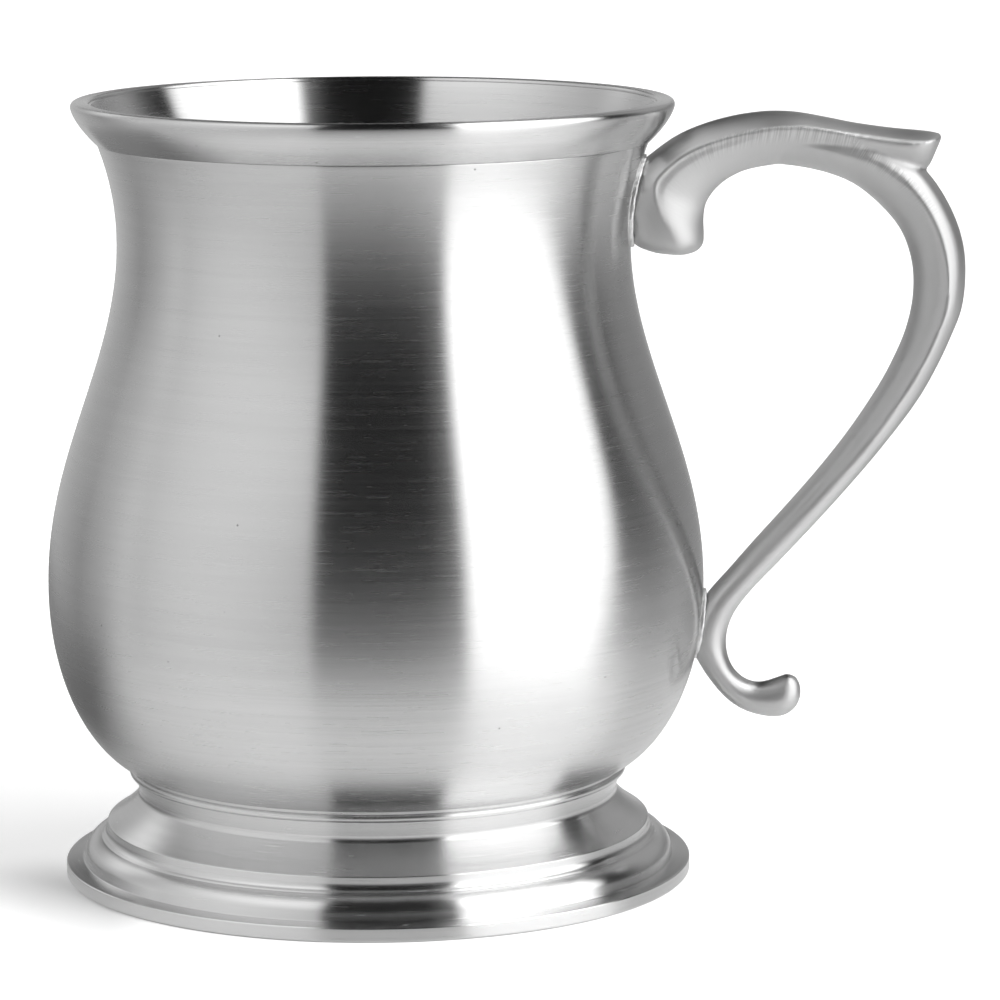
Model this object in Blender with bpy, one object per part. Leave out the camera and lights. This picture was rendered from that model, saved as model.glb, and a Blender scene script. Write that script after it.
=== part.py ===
"""One-pint metal tankard: a bell-shaped body on a moulded foot, with a lip band and a cast scroll handle.

Metres, +Z up, standing on z = 0. The handle points to +X and its spine lies in the plane y = 0.
The origin is at the middle of the footprint box, so the turned pieces stand round an axis to its left.
"""

import math

import bmesh
import bpy
from mathutils import Vector

MM = 0.001

# Overall sizes
TOTAL_HEIGHT = 112.4 * MM
FOOT_R = 45.5 * MM
BELLY_R = 47.45 * MM
NECK_R = 36.85 * MM
MOUTH_FLARE = 5.45 * MM  # how far the wall runs out from the neck to the top of the lip
LIP_PROUD = 0.85 * MM  # how far the lip's edge stands out past the wall's own line
HANDLE_REACH = 46.4 * MM  # from the line between the two joints to the outermost edge
HANDLE_WIDTH = 11.4 * MM

# Body
WALL = 1.6 * MM
FLOOR_Z = 15.4 * MM  # underside of the floor
BELLY_Z = 42.2 * MM
NECK_BELOW_LIP = 20.1 * MM
SHOULDER_SKEW = 1.06  # the curve from belly to neck is a cosine, drawn slightly towards the neck
FLARE_POWER = 2.08  # the curve from neck to lip

# Lip band: a turned ring that sits on a rebate and laps over the body's top edge
BAND_HEIGHT = 5.9 * MM
BAND_PROUD = 0.2 * MM  # step from the body out to the band's lower edge
BAND_REBATE = 0.75 * MM
BAND_POWER = 1.5  # the band's outward curve
LIP_CAP = 1.3 * MM
LIP_ROUND = 0.75 * MM
LIP_INNER_ROUND = 0.5 * MM

# Foot mouldings, from the rim inwards and from the table up
FLANGE_WIDTH = 2.6 * MM
FLANGE_HEIGHT = 2.1 * MM
EDGE_EASE = 0.3 * MM
OVOLO_WIDTH = 3.25 * MM
OVOLO_RISE = 2.95 * MM
OVOLO_BASE_Z = 2.75 * MM
STEP_WIDTH = 0.5 * MM
STEP_Z = 6.6 * MM
CAVETTO_R = 4.5 * MM  # the hollow curve from the step up to the collar
CAVETTO_BASE_Z = 7.45 * MM
FOOT_WALL = 2.0 * MM
COLLAR_WIDTH = 3.4 * MM  # the ring that carries the body's floor
FLOOR_RISE = 0.36 * MM  # how far the curve of the floor has risen where it passes that ring's outer edge
BEAD_R = 0.58 * MM

# Joints of the handle
UPPER_JOINT_ABOVE_NECK = 5.4 * MM
UPPER_ROOT_HEIGHT = 12.4 * MM
UPPER_ROOT_WIDTH = 9.4 * MM
LOWER_JOINT_BELOW_BELLY = 6.2 * MM
LOWER_ROOT_HEIGHT = 9.4 * MM
LOWER_ROOT_WIDTH = 6.3 * MM
SOLDER = 0.6 * MM
SOLDER_MARGIN = 0.5 * MM
GAP = 0.3 * MM  # clearance between two pieces that are soldered together
PAD_DEPTH = 8.0 * MM  # of the block that each solder pad is cut from

# Facets
SEGMENTS = 60
BOWL_STEPS = 8
MOULDING_STEPS = 5
SHARP_ANGLE = 35.0
CROWN_FACETS = 6
UNDERSIDE_FACETS = 10
STEPS_PER_STATION = 2
PAD_SIDES = 24
SLOPE_STEP = 0.1 * MM  # for measuring the slope of the wall
HALVINGS = 30  # of the stretch in which the bead's place under the floor is sought
MERGE_DISTANCE = 0.001 * MM

# Sizes that follow from the ones above
MOUTH_R = NECK_R + MOUTH_FLARE
LIP_R = MOUTH_R + LIP_PROUD
NECK_Z = TOTAL_HEIGHT - NECK_BELOW_LIP
BAND_Z = TOTAL_HEIGHT - BAND_HEIGHT
OVOLO_R = FOOT_R - FLANGE_WIDTH
STEP_R = OVOLO_R - OVOLO_WIDTH
CAVETTO_EDGE_R = STEP_R - STEP_WIDTH
COLLAR_R = CAVETTO_EDGE_R - CAVETTO_R
COLLAR_BORE_R = COLLAR_R - COLLAR_WIDTH
FLOOR_BEND = math.sqrt(1.0 - (1.0 - FLOOR_RISE / (BELLY_Z - FLOOR_Z)) ** 2)
FLOOR_FLAT_R = (COLLAR_R - FLOOR_BEND * BELLY_R) / (1.0 - FLOOR_BEND)
FOOT_TOP_Z = FLOOR_Z - GAP
UPPER_JOINT_Z = NECK_Z + UPPER_JOINT_ABOVE_NECK
LOWER_JOINT_Z = BELLY_Z - LOWER_JOINT_BELOW_BELLY

# The handle as drawn, in millimetres. Each station has a point on the inner edge, a point on the outer
# edge, its width as a share of HANDLE_WIDTH, and the depth of its side ridges below the crown as a share
# of its thickness. A point is (out from the line between the two joints, up from the lower joint).
DRAWN_REACH = 46.4
DRAWN_DROP = 61.7
# The arch starts at the foot of the upper root, climbs the wall, and runs out to the beak of the thumb rest.
ARCH_STATIONS = (
    ((6.3, 53.9), (1.8, 54.2), 0.36, 0.45),
    ((7.9, 54.4), (-0.4, 55.1), 0.68, 0.45),
    ((9.0, 55.4), (-1.6, 56.6), 0.86, 0.45),
    ((9.4, 56.9), (-1.7, 59.2), 0.94, 0.46),
    ((9.6, 58.6), (-1.2, 62.4), 0.97, 0.44),
    ((9.9, 60.0), (0.6, 66.0), 0.99, 0.38),
    ((10.4, 61.4), (3.9, 68.6), 1.0, 0.32),
    ((11.2, 62.8), (7.7, 71.0), 1.0, 0.30),
    ((12.5, 64.1), (11.6, 72.6), 1.0, 0.30),
    ((14.3, 65.2), (15.6, 73.7), 1.0, 0.31),
    ((16.7, 66.0), (19.2, 74.3), 1.0, 0.29),
    ((19.7, 66.6), (22.2, 74.5), 1.0, 0.26),
    ((23.2, 67.0), (25.6, 74.3), 1.0, 0.24),
    ((27.2, 67.1), (29.6, 73.5), 1.0, 0.22),
    ((31.2, 66.5), (33.2, 72.6), 1.01, 0.22),
    ((35.2, 65.7), (36.7, 72.1), 1.02, 0.22),
    ((38.7, 65.0), (39.6, 71.9), 1.03, 0.22),
    ((41.2, 65.1), (41.8, 71.7), 1.0, 0.22),
    ((43.1, 66.5), (43.7, 71.5), 0.86, 0.22),
    ((44.3, 68.4), (44.8, 71.3), 0.62, 0.22),
    ((45.4, 70.3), (45.5, 71.1), 0.28, 0.22),
)
# The arm leaves the arch under the thumb rest, and runs down to the lower joint and the tail's knob.
ARM_STATIONS = (
    ((17.4, 67.4), (19.6, 72.4), 0.80, 0.24),
    ((21.4, 67.1), (23.0, 72.7), 0.90, 0.24),
    ((25.4, 66.5), (27.4, 72.6), 0.96, 0.24),
    ((29.0, 65.6), (32.2, 71.6), 0.98, 0.24),
    ((32.4, 64.0), (37.2, 70.2), 1.0, 0.24),
    ((35.6, 60.9), (42.2, 66.4), 1.0, 0.24),
    ((37.8, 57.1), (45.3, 60.7), 1.0, 0.24),
    ((38.6, 52.6), (46.4, 54.3), 0.98, 0.24),
    ((38.0, 47.8), (45.1, 47.0), 0.95, 0.24),
    ((36.3, 43.1), (42.4, 41.6), 0.91, 0.24),
    ((33.8, 38.7), (39.0, 36.2), 0.87, 0.24),
    ((30.9, 34.5), (35.5, 31.6), 0.83, 0.24),
    ((26.0, 28.5), (29.8, 25.4), 0.77, 0.24),
    ((20.7, 22.8), (24.0, 19.6), 0.72, 0.24),
    ((15.2, 17.4), (18.2, 14.1), 0.68, 0.24),
    ((9.6, 12.1), (12.4, 8.8), 0.64, 0.24),
    ((5.6, 8.2), (8.6, 5.4), 0.62, 0.24),
    ((1.5, 4.2), (5.6, 2.2), 0.60, 0.24),
    ((-1.1, 0.5), (4.0, -0.4), 0.58, 0.24),
    ((-2.2, -2.7), (3.3, -2.8), 0.57, 0.24),
    ((-1.3, -5.4), (3.3, -5.0), 0.55, 0.24),
    ((-0.1, -8.0), (3.9, -6.8), 0.53, 0.24),
    ((1.6, -10.6), (5.1, -8.1), 0.51, 0.24),
    ((3.6, -12.4), (6.6, -8.7), 0.51, 0.24),
    ((5.9, -13.4), (8.2, -8.6), 0.53, 0.24),
    ((8.4, -13.8), (10.1, -8.0), 0.55, 0.24),
    ((10.3, -13.5), (11.5, -7.6), 0.52, 0.24),
    ((11.9, -12.4), (12.7, -8.1), 0.38, 0.24),
    ((12.8, -11.0), (13.1, -9.5), 0.15, 0.24),
)
REST_PINCH = 0.6  # hollows the cheeks under the thumb rest
PINCH_FROM, PINCH_TO = 0.5, 0.75  # shares of the arch's length between which its cheeks turn hollow
ROUND_FROM, ROUND_TO = 0.25, 0.53  # shares of the arm's length between which its ridges fade out


def lerp(a, b, t):
    return a + (b - a) * t


def smoothstep(a, b, value):
    t = min(max((value - a) / (b - a), 0.0), 1.0)
    return t * t * (3.0 - 2.0 * t)


def arc(centre, radii, start, end, steps):
    """Points (r, z) of an ellipse's arc, with angles in degrees from the +r direction."""
    angles = [math.radians(lerp(start, end, i / steps)) for i in range(steps + 1)]
    return [(centre[0] + radii[0] * math.cos(a), centre[1] + radii[1] * math.sin(a)) for a in angles]


def spread(start, end, steps):
    """Evenly spaced values, both ends included."""
    return [lerp(start, end, i / steps) for i in range(steps + 1)]


def wall_radius(z):
    """Outside radius of the body's wall at a height above the belly's lowest quarter."""
    if z <= BELLY_Z:
        drop = (BELLY_Z - z) / (BELLY_Z - FLOOR_Z)
        return lerp(FLOOR_FLAT_R, BELLY_R, math.sqrt(max(0.0, 1.0 - drop * drop)))
    if z <= NECK_Z:
        rise = (z - BELLY_Z) / (NECK_Z - BELLY_Z)
        return lerp(BELLY_R, NECK_R, 0.5 - 0.5 * math.cos(math.pi * rise**SHOULDER_SKEW))
    rise = (z - NECK_Z) / (TOTAL_HEIGHT - NECK_Z)
    return lerp(NECK_R, MOUTH_R, rise**FLARE_POWER)


def offset_radius(z, offset):
    """Radius, at a height above the belly, of a surface set off square from the body's outside."""
    slope = (wall_radius(z + SLOPE_STEP) - wall_radius(z - SLOPE_STEP)) / (2.0 * SLOPE_STEP)
    return wall_radius(z) + offset * math.hypot(1.0, slope)


def bore_radius(z):
    return offset_radius(z, -WALL)


def bowl(offset):
    """The body's curve below the belly, from the axis outwards, moved off its outside by a distance."""
    radii = (BELLY_R - FLOOR_FLAT_R + offset, BELLY_Z - FLOOR_Z + offset)
    return [(0.0, FLOOR_Z - offset)] + arc((FLOOR_FLAT_R, BELLY_Z), radii, -90.0, 0.0, BOWL_STEPS)


def wall_heights(shoulder_steps, flare_steps):
    """Heights of the points on the wall above the belly, up to the lip band."""
    return spread(BELLY_Z, NECK_Z, shoulder_steps)[1:] + spread(NECK_Z, BAND_Z, flare_steps)[1:]


def body_outline():
    rebate = spread(BAND_Z, TOTAL_HEIGHT - LIP_CAP - GAP, 2)
    outside = bowl(0.0) + [(wall_radius(z), z) for z in wall_heights(9, 4)]
    outside += [(wall_radius(z) - BAND_REBATE, z) for z in rebate]
    inside = bowl(-WALL) + [(bore_radius(z), z) for z in wall_heights(6, 3) + rebate[1:]]
    return outside + inside[::-1]


def band_outline():
    low = BAND_Z + GAP
    step = wall_radius(BAND_Z) + BAND_PROUD
    shoulder = TOTAL_HEIGHT - LIP_ROUND
    outside = []
    for z in spread(low, shoulder, 5)[:-1]:
        rise = (z - low) / (shoulder - low)
        outside.append((LIP_R - (LIP_R - step) * (1.0 - rise) ** BAND_POWER, z))
    lip = arc((LIP_R - LIP_ROUND, shoulder), (LIP_ROUND, LIP_ROUND), 0.0, 90.0, 3)
    inner_r = bore_radius(TOTAL_HEIGHT)
    inner_centre = (inner_r + LIP_INNER_ROUND, TOTAL_HEIGHT - LIP_INNER_ROUND)
    lip += arc(inner_centre, (LIP_INNER_ROUND, LIP_INNER_ROUND), 90.0, 180.0, 2)
    cap_z = TOTAL_HEIGHT - LIP_CAP
    seat = [(wall_radius(z) - BAND_REBATE + GAP, z) for z in spread(cap_z, low, 2)]
    return outside + lip + [(bore_radius(cap_z), cap_z)] + seat


def foot_outline():
    centre = (CAVETTO_EDGE_R, CAVETTO_BASE_Z + CAVETTO_R)
    outside = [(FOOT_R - EDGE_EASE, 0.0), (FOOT_R, EDGE_EASE), (FOOT_R, FLANGE_HEIGHT - EDGE_EASE)]
    outside += [(FOOT_R - EDGE_EASE, FLANGE_HEIGHT), (OVOLO_R, lerp(FLANGE_HEIGHT, OVOLO_BASE_Z, 0.6))]
    outside += arc((STEP_R, OVOLO_BASE_Z), (OVOLO_WIDTH, OVOLO_RISE), 0.0, 90.0, MOULDING_STEPS)
    outside += [(STEP_R, STEP_Z), (CAVETTO_EDGE_R, STEP_Z)]
    outside += arc(centre, (CAVETTO_R, CAVETTO_R), 270.0, 180.0, MOULDING_STEPS) + [(COLLAR_R, FOOT_TOP_Z)]
    hollow_r = CAVETTO_R + FOOT_WALL
    hollow = arc(centre, (hollow_r, hollow_r), 200.0, 250.0, 3)
    inside = [(COLLAR_BORE_R, FOOT_TOP_Z), (COLLAR_BORE_R, centre[1])] + hollow
    inside.append((STEP_R - FOOT_WALL * 0.6, OVOLO_BASE_Z + OVOLO_RISE - FOOT_WALL))
    inside += [(OVOLO_R - FOOT_WALL, OVOLO_BASE_Z - FOOT_WALL / 2.0), (OVOLO_R - FOOT_WALL, 0.0)]
    return outside + inside


def bead_outline():
    """The bead fills the corner between the foot's collar and the curve of the body's floor."""
    across, high = BELLY_R - FLOOR_FLAT_R, BELLY_Z - FLOOR_Z
    lowest, highest = 0.0, math.pi / 2.0
    for _ in range(HALVINGS):
        turn = (lowest + highest) / 2.0
        square_off = Vector((math.sin(turn) / across, -math.cos(turn) / high)).normalized() * (GAP + BEAD_R)
        on_floor = Vector((FLOOR_FLAT_R + across * math.sin(turn), BELLY_Z - high * math.cos(turn)))
        centre = on_floor + square_off
        if centre.x < COLLAR_R + GAP + BEAD_R:
            lowest = turn
        else:
            highest = turn
    return arc(centre, (BEAD_R, BEAD_R), 0.0, 360.0, 6)[:-1]


def wall_outline(clearance):
    """A solid that fills the body and stands proud of it by a clearance, for cutting what meets the wall."""
    side = [(offset_radius(z, clearance), z) for z in wall_heights(9, 4) + [TOTAL_HEIGHT]]
    return bowl(clearance) + side + [(0.0, TOTAL_HEIGHT)]


def material(name, colour, roughness):
    made = bpy.data.materials.new(name)
    made.use_nodes = True
    shader = made.node_tree.nodes["Principled BSDF"]
    shader.inputs["Base Color"].default_value = (*colour, 1.0)
    shader.inputs["Metallic"].default_value = 1.0
    shader.inputs["Roughness"].default_value = roughness
    return made


def new_object(name, mesh_data, parent, finish=None):
    made = bpy.data.objects.new(name, mesh_data)
    bpy.context.scene.collection.objects.link(made)
    made.parent = parent
    if finish:
        made.data.materials.append(finish)
    return made


def to_mesh(name, bm):
    """Turns a bmesh into a mesh with outward faces, shaded smooth except at its sharp edges."""
    bmesh.ops.recalc_face_normals(bm, faces=bm.faces)
    made = bpy.data.meshes.new(name)
    bm.to_mesh(made)
    bm.free()
    made.shade_smooth()
    made.set_sharp_from_angle(angle=math.radians(SHARP_ANGLE))
    return made


def turned(name, outline, parent, finish=None):
    """A piece turned round +Z from a closed outline of (r, z) points, or one with both ends on the axis."""
    bm = bmesh.new()
    corners = [bm.verts.new((r, 0.0, z)) for r, z in outline]
    edges = [bm.edges.new(pair) for pair in zip(corners, corners[1:])]
    if outline[0][0] > 0.0:
        edges.append(bm.edges.new((corners[-1], corners[0])))
    bmesh.ops.spin(
        bm,
        geom=corners + edges,
        cent=(0.0, 0.0, 0.0),
        axis=(0.0, 0.0, 1.0),
        angle=math.tau,
        steps=SEGMENTS,
        use_merge=True,
    )
    bmesh.ops.remove_doubles(bm, verts=bm.verts, dist=MERGE_DISTANCE)
    return new_object(name, to_mesh(name, bm), parent, finish)


def placed(point):
    """A drawn point of the handle in the plane y = 0, set out from the line between the two joints.

    The stretch between the joints follows the body. The arch above it and the tail below keep their height.
    """
    out, up = point
    line = lerp(wall_radius(LOWER_JOINT_Z), wall_radius(UPPER_JOINT_Z), up / DRAWN_DROP)
    between = min(max(up, 0.0), DRAWN_DROP)
    z = lerp(LOWER_JOINT_Z, UPPER_JOINT_Z, between / DRAWN_DROP) + (up - between) * MM
    return Vector((line + out * HANDLE_REACH / DRAWN_REACH, 0.0, z))


def smoothed(values, steps):
    """A Catmull-Rom curve through a list of vectors, with this many steps from each to the next."""
    out = []
    for i in range(len(values) - 1):
        before = values[max(i - 1, 0)]
        a, b = values[i], values[i + 1]
        after = values[min(i + 2, len(values) - 1)]
        for k in range(steps):
            t = k / steps
            bend = (b - before) * t + (2.0 * before - 5.0 * a + 4.0 * b - after) * t**2
            out.append(a + 0.5 * (bend + (3.0 * a - before - 3.0 * b + after) * t**3))
    return out + [values[-1]]


def section(inner, outer, width, ridge, roundness, pinch):
    """One ring of the handle: a low crown over two side ridges, and a deeper rounded underside."""
    thickness = (outer - inner).length
    up = (outer - inner).normalized()
    depth = thickness * lerp(ridge, 0.5, roundness)
    middle = outer - up * depth
    ring = []
    for i in range(CROWN_FACETS):
        side = lerp(-1.0, 1.0, i / CROWN_FACETS)
        angle = math.pi * (1.0 - i / CROWN_FACETS)
        crown = lerp(1.0 - side * side, math.sin(angle), roundness)
        across = lerp(side, math.cos(angle), roundness)
        ring.append(middle + up * depth * crown + Vector((0.0, across * width / 2.0, 0.0)))
    for i in range(UNDERSIDE_FACETS):
        angle = math.pi * i / UNDERSIDE_FACETS
        across = math.cos(angle) * abs(math.cos(angle)) ** pinch
        below = (thickness - depth) * math.sin(angle)
        ring.append(middle - up * below + Vector((0.0, across * width / 2.0, 0.0)))
    return ring


def lofted(name, stations, parent, finish=None, hollowing=(), rounding=()):
    """A closed skin over a row of stations, whose section may turn hollow-cheeked or round on the way."""
    inner = smoothed([placed(station[0]) for station in stations], STEPS_PER_STATION)
    outer = smoothed([placed(station[1]) for station in stations], STEPS_PER_STATION)
    shares = smoothed([Vector(station[2:]) for station in stations], STEPS_PER_STATION)
    bm = bmesh.new()
    rings = []
    for i, (low, high, (width, ridge)) in enumerate(zip(inner, outer, shares)):
        pinch = REST_PINCH * smoothstep(*hollowing, i / len(inner)) if hollowing else 0.0
        roundness = smoothstep(*rounding, i / len(inner)) if rounding else 0.0
        points = section(low, high, width * HANDLE_WIDTH, ridge, roundness, pinch)
        rings.append([bm.verts.new(point) for point in points])
    for ring, following in zip(rings, rings[1:]):
        for i in range(len(ring)):
            j = (i + 1) % len(ring)
            bm.faces.new((ring[i], ring[j], following[j], following[i]))
    bm.faces.new(rings[0][::-1])
    bm.faces.new(rings[-1])
    return new_object(name, to_mesh(name, bm), parent, finish)


def combine(target, tool, operation):
    """Adds an exact Boolean, and turns the other object into a guide that isn't part of the tankard."""
    modifier = target.modifiers.new(operation.lower(), "BOOLEAN")
    modifier.operation = operation
    modifier.solver = "EXACT"
    modifier.object = tool
    tool.hide_render = True
    tool.display_type = "WIRE"


def solder_pad(name, joint_z, height, width, parent, finish):
    """The film of solder between the wall and a root of the handle: an oval that follows the wall's curve."""
    bm = bmesh.new()
    bmesh.ops.create_circle(bm, cap_ends=True, radius=1.0, segments=PAD_SIDES)
    half_height = height / 2.0 + SOLDER_MARGIN
    half_width = width / 2.0 + SOLDER_MARGIN
    inner_side = wall_radius(joint_z) - PAD_DEPTH / 2.0
    for vert in bm.verts:
        vert.co = Vector((inner_side, vert.co.x * half_width, joint_z + vert.co.y * half_height))
    grown = bmesh.ops.extrude_face_region(bm, geom=bm.faces[:])
    far_side = [item for item in grown["geom"] if isinstance(item, bmesh.types.BMVert)]
    bmesh.ops.translate(bm, verts=far_side, vec=(PAD_DEPTH, 0.0, 0.0))
    pad = new_object(name, to_mesh(name, bm), parent, finish)
    combine(pad, turned(name + "_inner_guide", wall_outline(GAP), parent), "DIFFERENCE")
    combine(pad, turned(name + "_outer_guide", wall_outline(GAP + SOLDER), parent), "INTERSECT")
    return pad


def build():
    for item in list(bpy.data.objects):
        bpy.data.objects.remove(item)

    brushed = material("brushed_pewter", (0.56, 0.56, 0.57), 0.34)
    lip_finish = material("polished_lip", (0.58, 0.58, 0.59), 0.28)
    foot_finish = material("foot_pewter", (0.54, 0.54, 0.55), 0.36)
    bead_finish = material("foot_bead_metal", (0.60, 0.60, 0.61), 0.30)
    cast_finish = material("cast_handle", (0.55, 0.55, 0.56), 0.40)
    solder_finish = material("solder", (0.66, 0.66, 0.67), 0.45)

    drawn = [placed(station[1]).x for station in ARCH_STATIONS + ARM_STATIONS]
    axis = bpy.data.objects.new("body_axis", None)
    bpy.context.scene.collection.objects.link(axis)
    axis.location.x = (BELLY_R - max(drawn)) / 2.0
    bpy.context.view_layer.update()

    turned("body", body_outline(), axis, brushed)
    turned("lip_band", band_outline(), axis, lip_finish)
    turned("foot", foot_outline(), axis, foot_finish)
    turned("foot_bead", bead_outline(), axis, bead_finish)

    handle = lofted("handle", ARM_STATIONS, axis, cast_finish, rounding=(ROUND_FROM, ROUND_TO))
    arch = lofted("arch_guide", ARCH_STATIONS, axis, hollowing=(PINCH_FROM, PINCH_TO))
    combine(handle, arch, "UNION")
    combine(handle, turned("wall_guide", wall_outline(SOLDER + 2.0 * GAP), axis), "DIFFERENCE")
    solder_pad("upper_solder", UPPER_JOINT_Z, UPPER_ROOT_HEIGHT, UPPER_ROOT_WIDTH, axis, solder_finish)
    solder_pad("lower_solder", LOWER_JOINT_Z, LOWER_ROOT_HEIGHT, LOWER_ROOT_WIDTH, axis, solder_finish)


build()
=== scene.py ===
"""The looks of a bell-shaped pewter tankard: turned and brushed metal, a cast scroll handle, a white studio.

Metres, +Z up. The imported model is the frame: each piece here stands for the node that it replaces, on the same
turned axis and with the same sizes, but with smooth surfaces, eased edges and closed solder seams.
"""

from __future__ import annotations

import logging
import math
from dataclasses import dataclass
from enum import Enum
from functools import cache, partial, reduce
from typing import Iterable, Mapping, Sequence

import bmesh
import bpy
from mathutils import Matrix, Vector, kdtree, noise

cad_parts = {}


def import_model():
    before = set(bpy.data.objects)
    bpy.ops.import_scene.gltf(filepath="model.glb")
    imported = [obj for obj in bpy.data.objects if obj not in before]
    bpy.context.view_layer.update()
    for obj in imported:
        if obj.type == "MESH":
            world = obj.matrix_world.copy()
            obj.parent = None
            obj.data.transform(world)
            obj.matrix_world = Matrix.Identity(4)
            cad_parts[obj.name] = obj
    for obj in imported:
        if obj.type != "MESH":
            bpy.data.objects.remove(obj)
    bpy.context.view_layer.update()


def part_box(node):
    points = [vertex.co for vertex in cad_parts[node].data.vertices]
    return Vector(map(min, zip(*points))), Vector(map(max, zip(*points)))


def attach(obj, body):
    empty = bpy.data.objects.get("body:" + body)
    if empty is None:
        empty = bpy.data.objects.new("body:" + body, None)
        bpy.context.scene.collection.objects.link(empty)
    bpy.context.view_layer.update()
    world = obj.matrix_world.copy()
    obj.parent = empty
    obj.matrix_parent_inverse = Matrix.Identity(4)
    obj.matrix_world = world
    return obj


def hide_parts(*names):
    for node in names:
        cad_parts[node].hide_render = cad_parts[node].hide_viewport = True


LOG = logging.getLogger("tankard")

MM = 0.001
MERGE_DISTANCE = 0.001 * MM
SMOOTH_ANGLE = math.radians(32.0)
CORNER_SHARE = 0.45
HALF_CIRCLE = 180.0
QUARTER_TURN = 0.25

Outline = list[tuple[float, float]]
Station = tuple[tuple[float, float], tuple[float, float], float, float]
Triple = tuple[float, float, float]
Range = tuple[float, float]
Windows = tuple[tuple, ...]
Socket = bpy.types.NodeSocket
Inputs = Mapping[object, object]

WHOLE: Range = (0.0, 1.0)
NOISE_MIDDLE: Range = (0.3, 0.7)


class Slot(Enum):
    """Material slots of the record."""

    BODY = "body"
    LIP = "lip"
    FOOT = "foot"
    BEAD = "bead"
    HANDLE = "handle"
    SOLDER = "solder"


class Cut(Enum):
    """What a Boolean does with its tool."""

    KEEP_INSIDE = "INTERSECT"
    CUT_AWAY = "DIFFERENCE"


def lerp(start: float, end: float, share: float) -> float:
    """Value at a share of the way from start to end."""
    return start + (end - start) * share


def smoothstep(start: float, end: float, value: float) -> float:
    """Share from 0 to 1 that eases in and out between start and end."""
    share = min(max((value - start) / (end - start), 0.0), 1.0)
    return share * share * (3.0 - 2.0 * share)


def spread(start: float, end: float, steps: int) -> list[float]:
    """Evenly spaced values, both ends included."""
    return [lerp(start, end, i / steps) for i in range(steps + 1)]


def arc(centre: Sequence[float], radii: Sequence[float], start: float, end: float, steps: int) -> Outline:
    """Points of an ellipse's arc in the plane of the outline.

    Args:
        centre: Radius and height of the arc's centre.
        radii: Half axes along the radius and along the height.
        start: First angle in degrees, from the outward direction.
        end: Last angle in degrees.
        steps: Number of stretches.

    Returns:
        The points, from first to last.
    """
    angles = [math.radians(angle) for angle in spread(start, end, steps)]
    return [(centre[0] + radii[0] * math.cos(a), centre[1] + radii[1] * math.sin(a)) for a in angles]


def eased(outline: Outline, radius: float, sharpest: float = 24.0, steps: int = 5) -> Outline:
    """Rounds every corner of an open outline that turns by more than an angle.

    Args:
        outline: Points (radius, height).
        radius: Radius of the easing.
        sharpest: Turn in degrees that still counts as part of a curve.
        steps: Stretches along each easing.

    Returns:
        The outline with arcs in place of its corners.
    """
    out: Outline = [outline[0]]
    for before, here, after in zip(outline, outline[1:], outline[2:]):
        corner = Vector(here)
        back, ahead = Vector(before) - corner, Vector(after) - corner
        opening = back.angle(ahead)
        if math.degrees(math.pi - opening) < sharpest:
            out.append(here)
            continue
        reach = min(radius / math.tan(opening / 2.0), CORNER_SHARE * min(back.length, ahead.length))
        start, end = corner + back.normalized() * reach, corner + ahead.normalized() * reach
        for t in spread(0.0, 1.0, steps):
            out.append(tuple(start * (1.0 - t) ** 2 + corner * 2.0 * t * (1.0 - t) + end * t * t))
    return out + [outline[-1]]


def divided(outline: Outline, longest: float) -> Outline:
    """Splits every stretch of an outline that is longer than a length.

    Args:
        outline: Points (radius, height).
        longest: Length of the longest stretch that stays whole.

    Returns:
        The outline with the points between.
    """
    out: Outline = [outline[0]]
    for (r0, z0), (r1, z1) in zip(outline, outline[1:]):
        parts = max(1, math.ceil(math.hypot(r1 - r0, z1 - z0) / longest))
        out += [(lerp(r0, r1, i / parts), lerp(z0, z1, i / parts)) for i in range(1, parts + 1)]
    return out


def through(values: Sequence[Vector], steps: int) -> list[Vector]:
    """A Catmull-Rom curve through vectors, with this many steps from each to the next.

    Args:
        values: The vectors that it meets.
        steps: Number of steps from each to the next.

    Returns:
        All points of the curve, both ends included.
    """
    out = []
    for i, (here, there) in enumerate(zip(values, values[1:])):
        before = values[max(i - 1, 0)]
        after = values[min(i + 2, len(values) - 1)]
        for k in range(steps):
            t = k / steps
            bend = (there - before) * t + (2.0 * before - 5.0 * here + 4.0 * there - after) * t**2
            out.append(here + 0.5 * (bend + (3.0 * here - before - 3.0 * there + after) * t**3))
    return out + [values[-1]]


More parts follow.
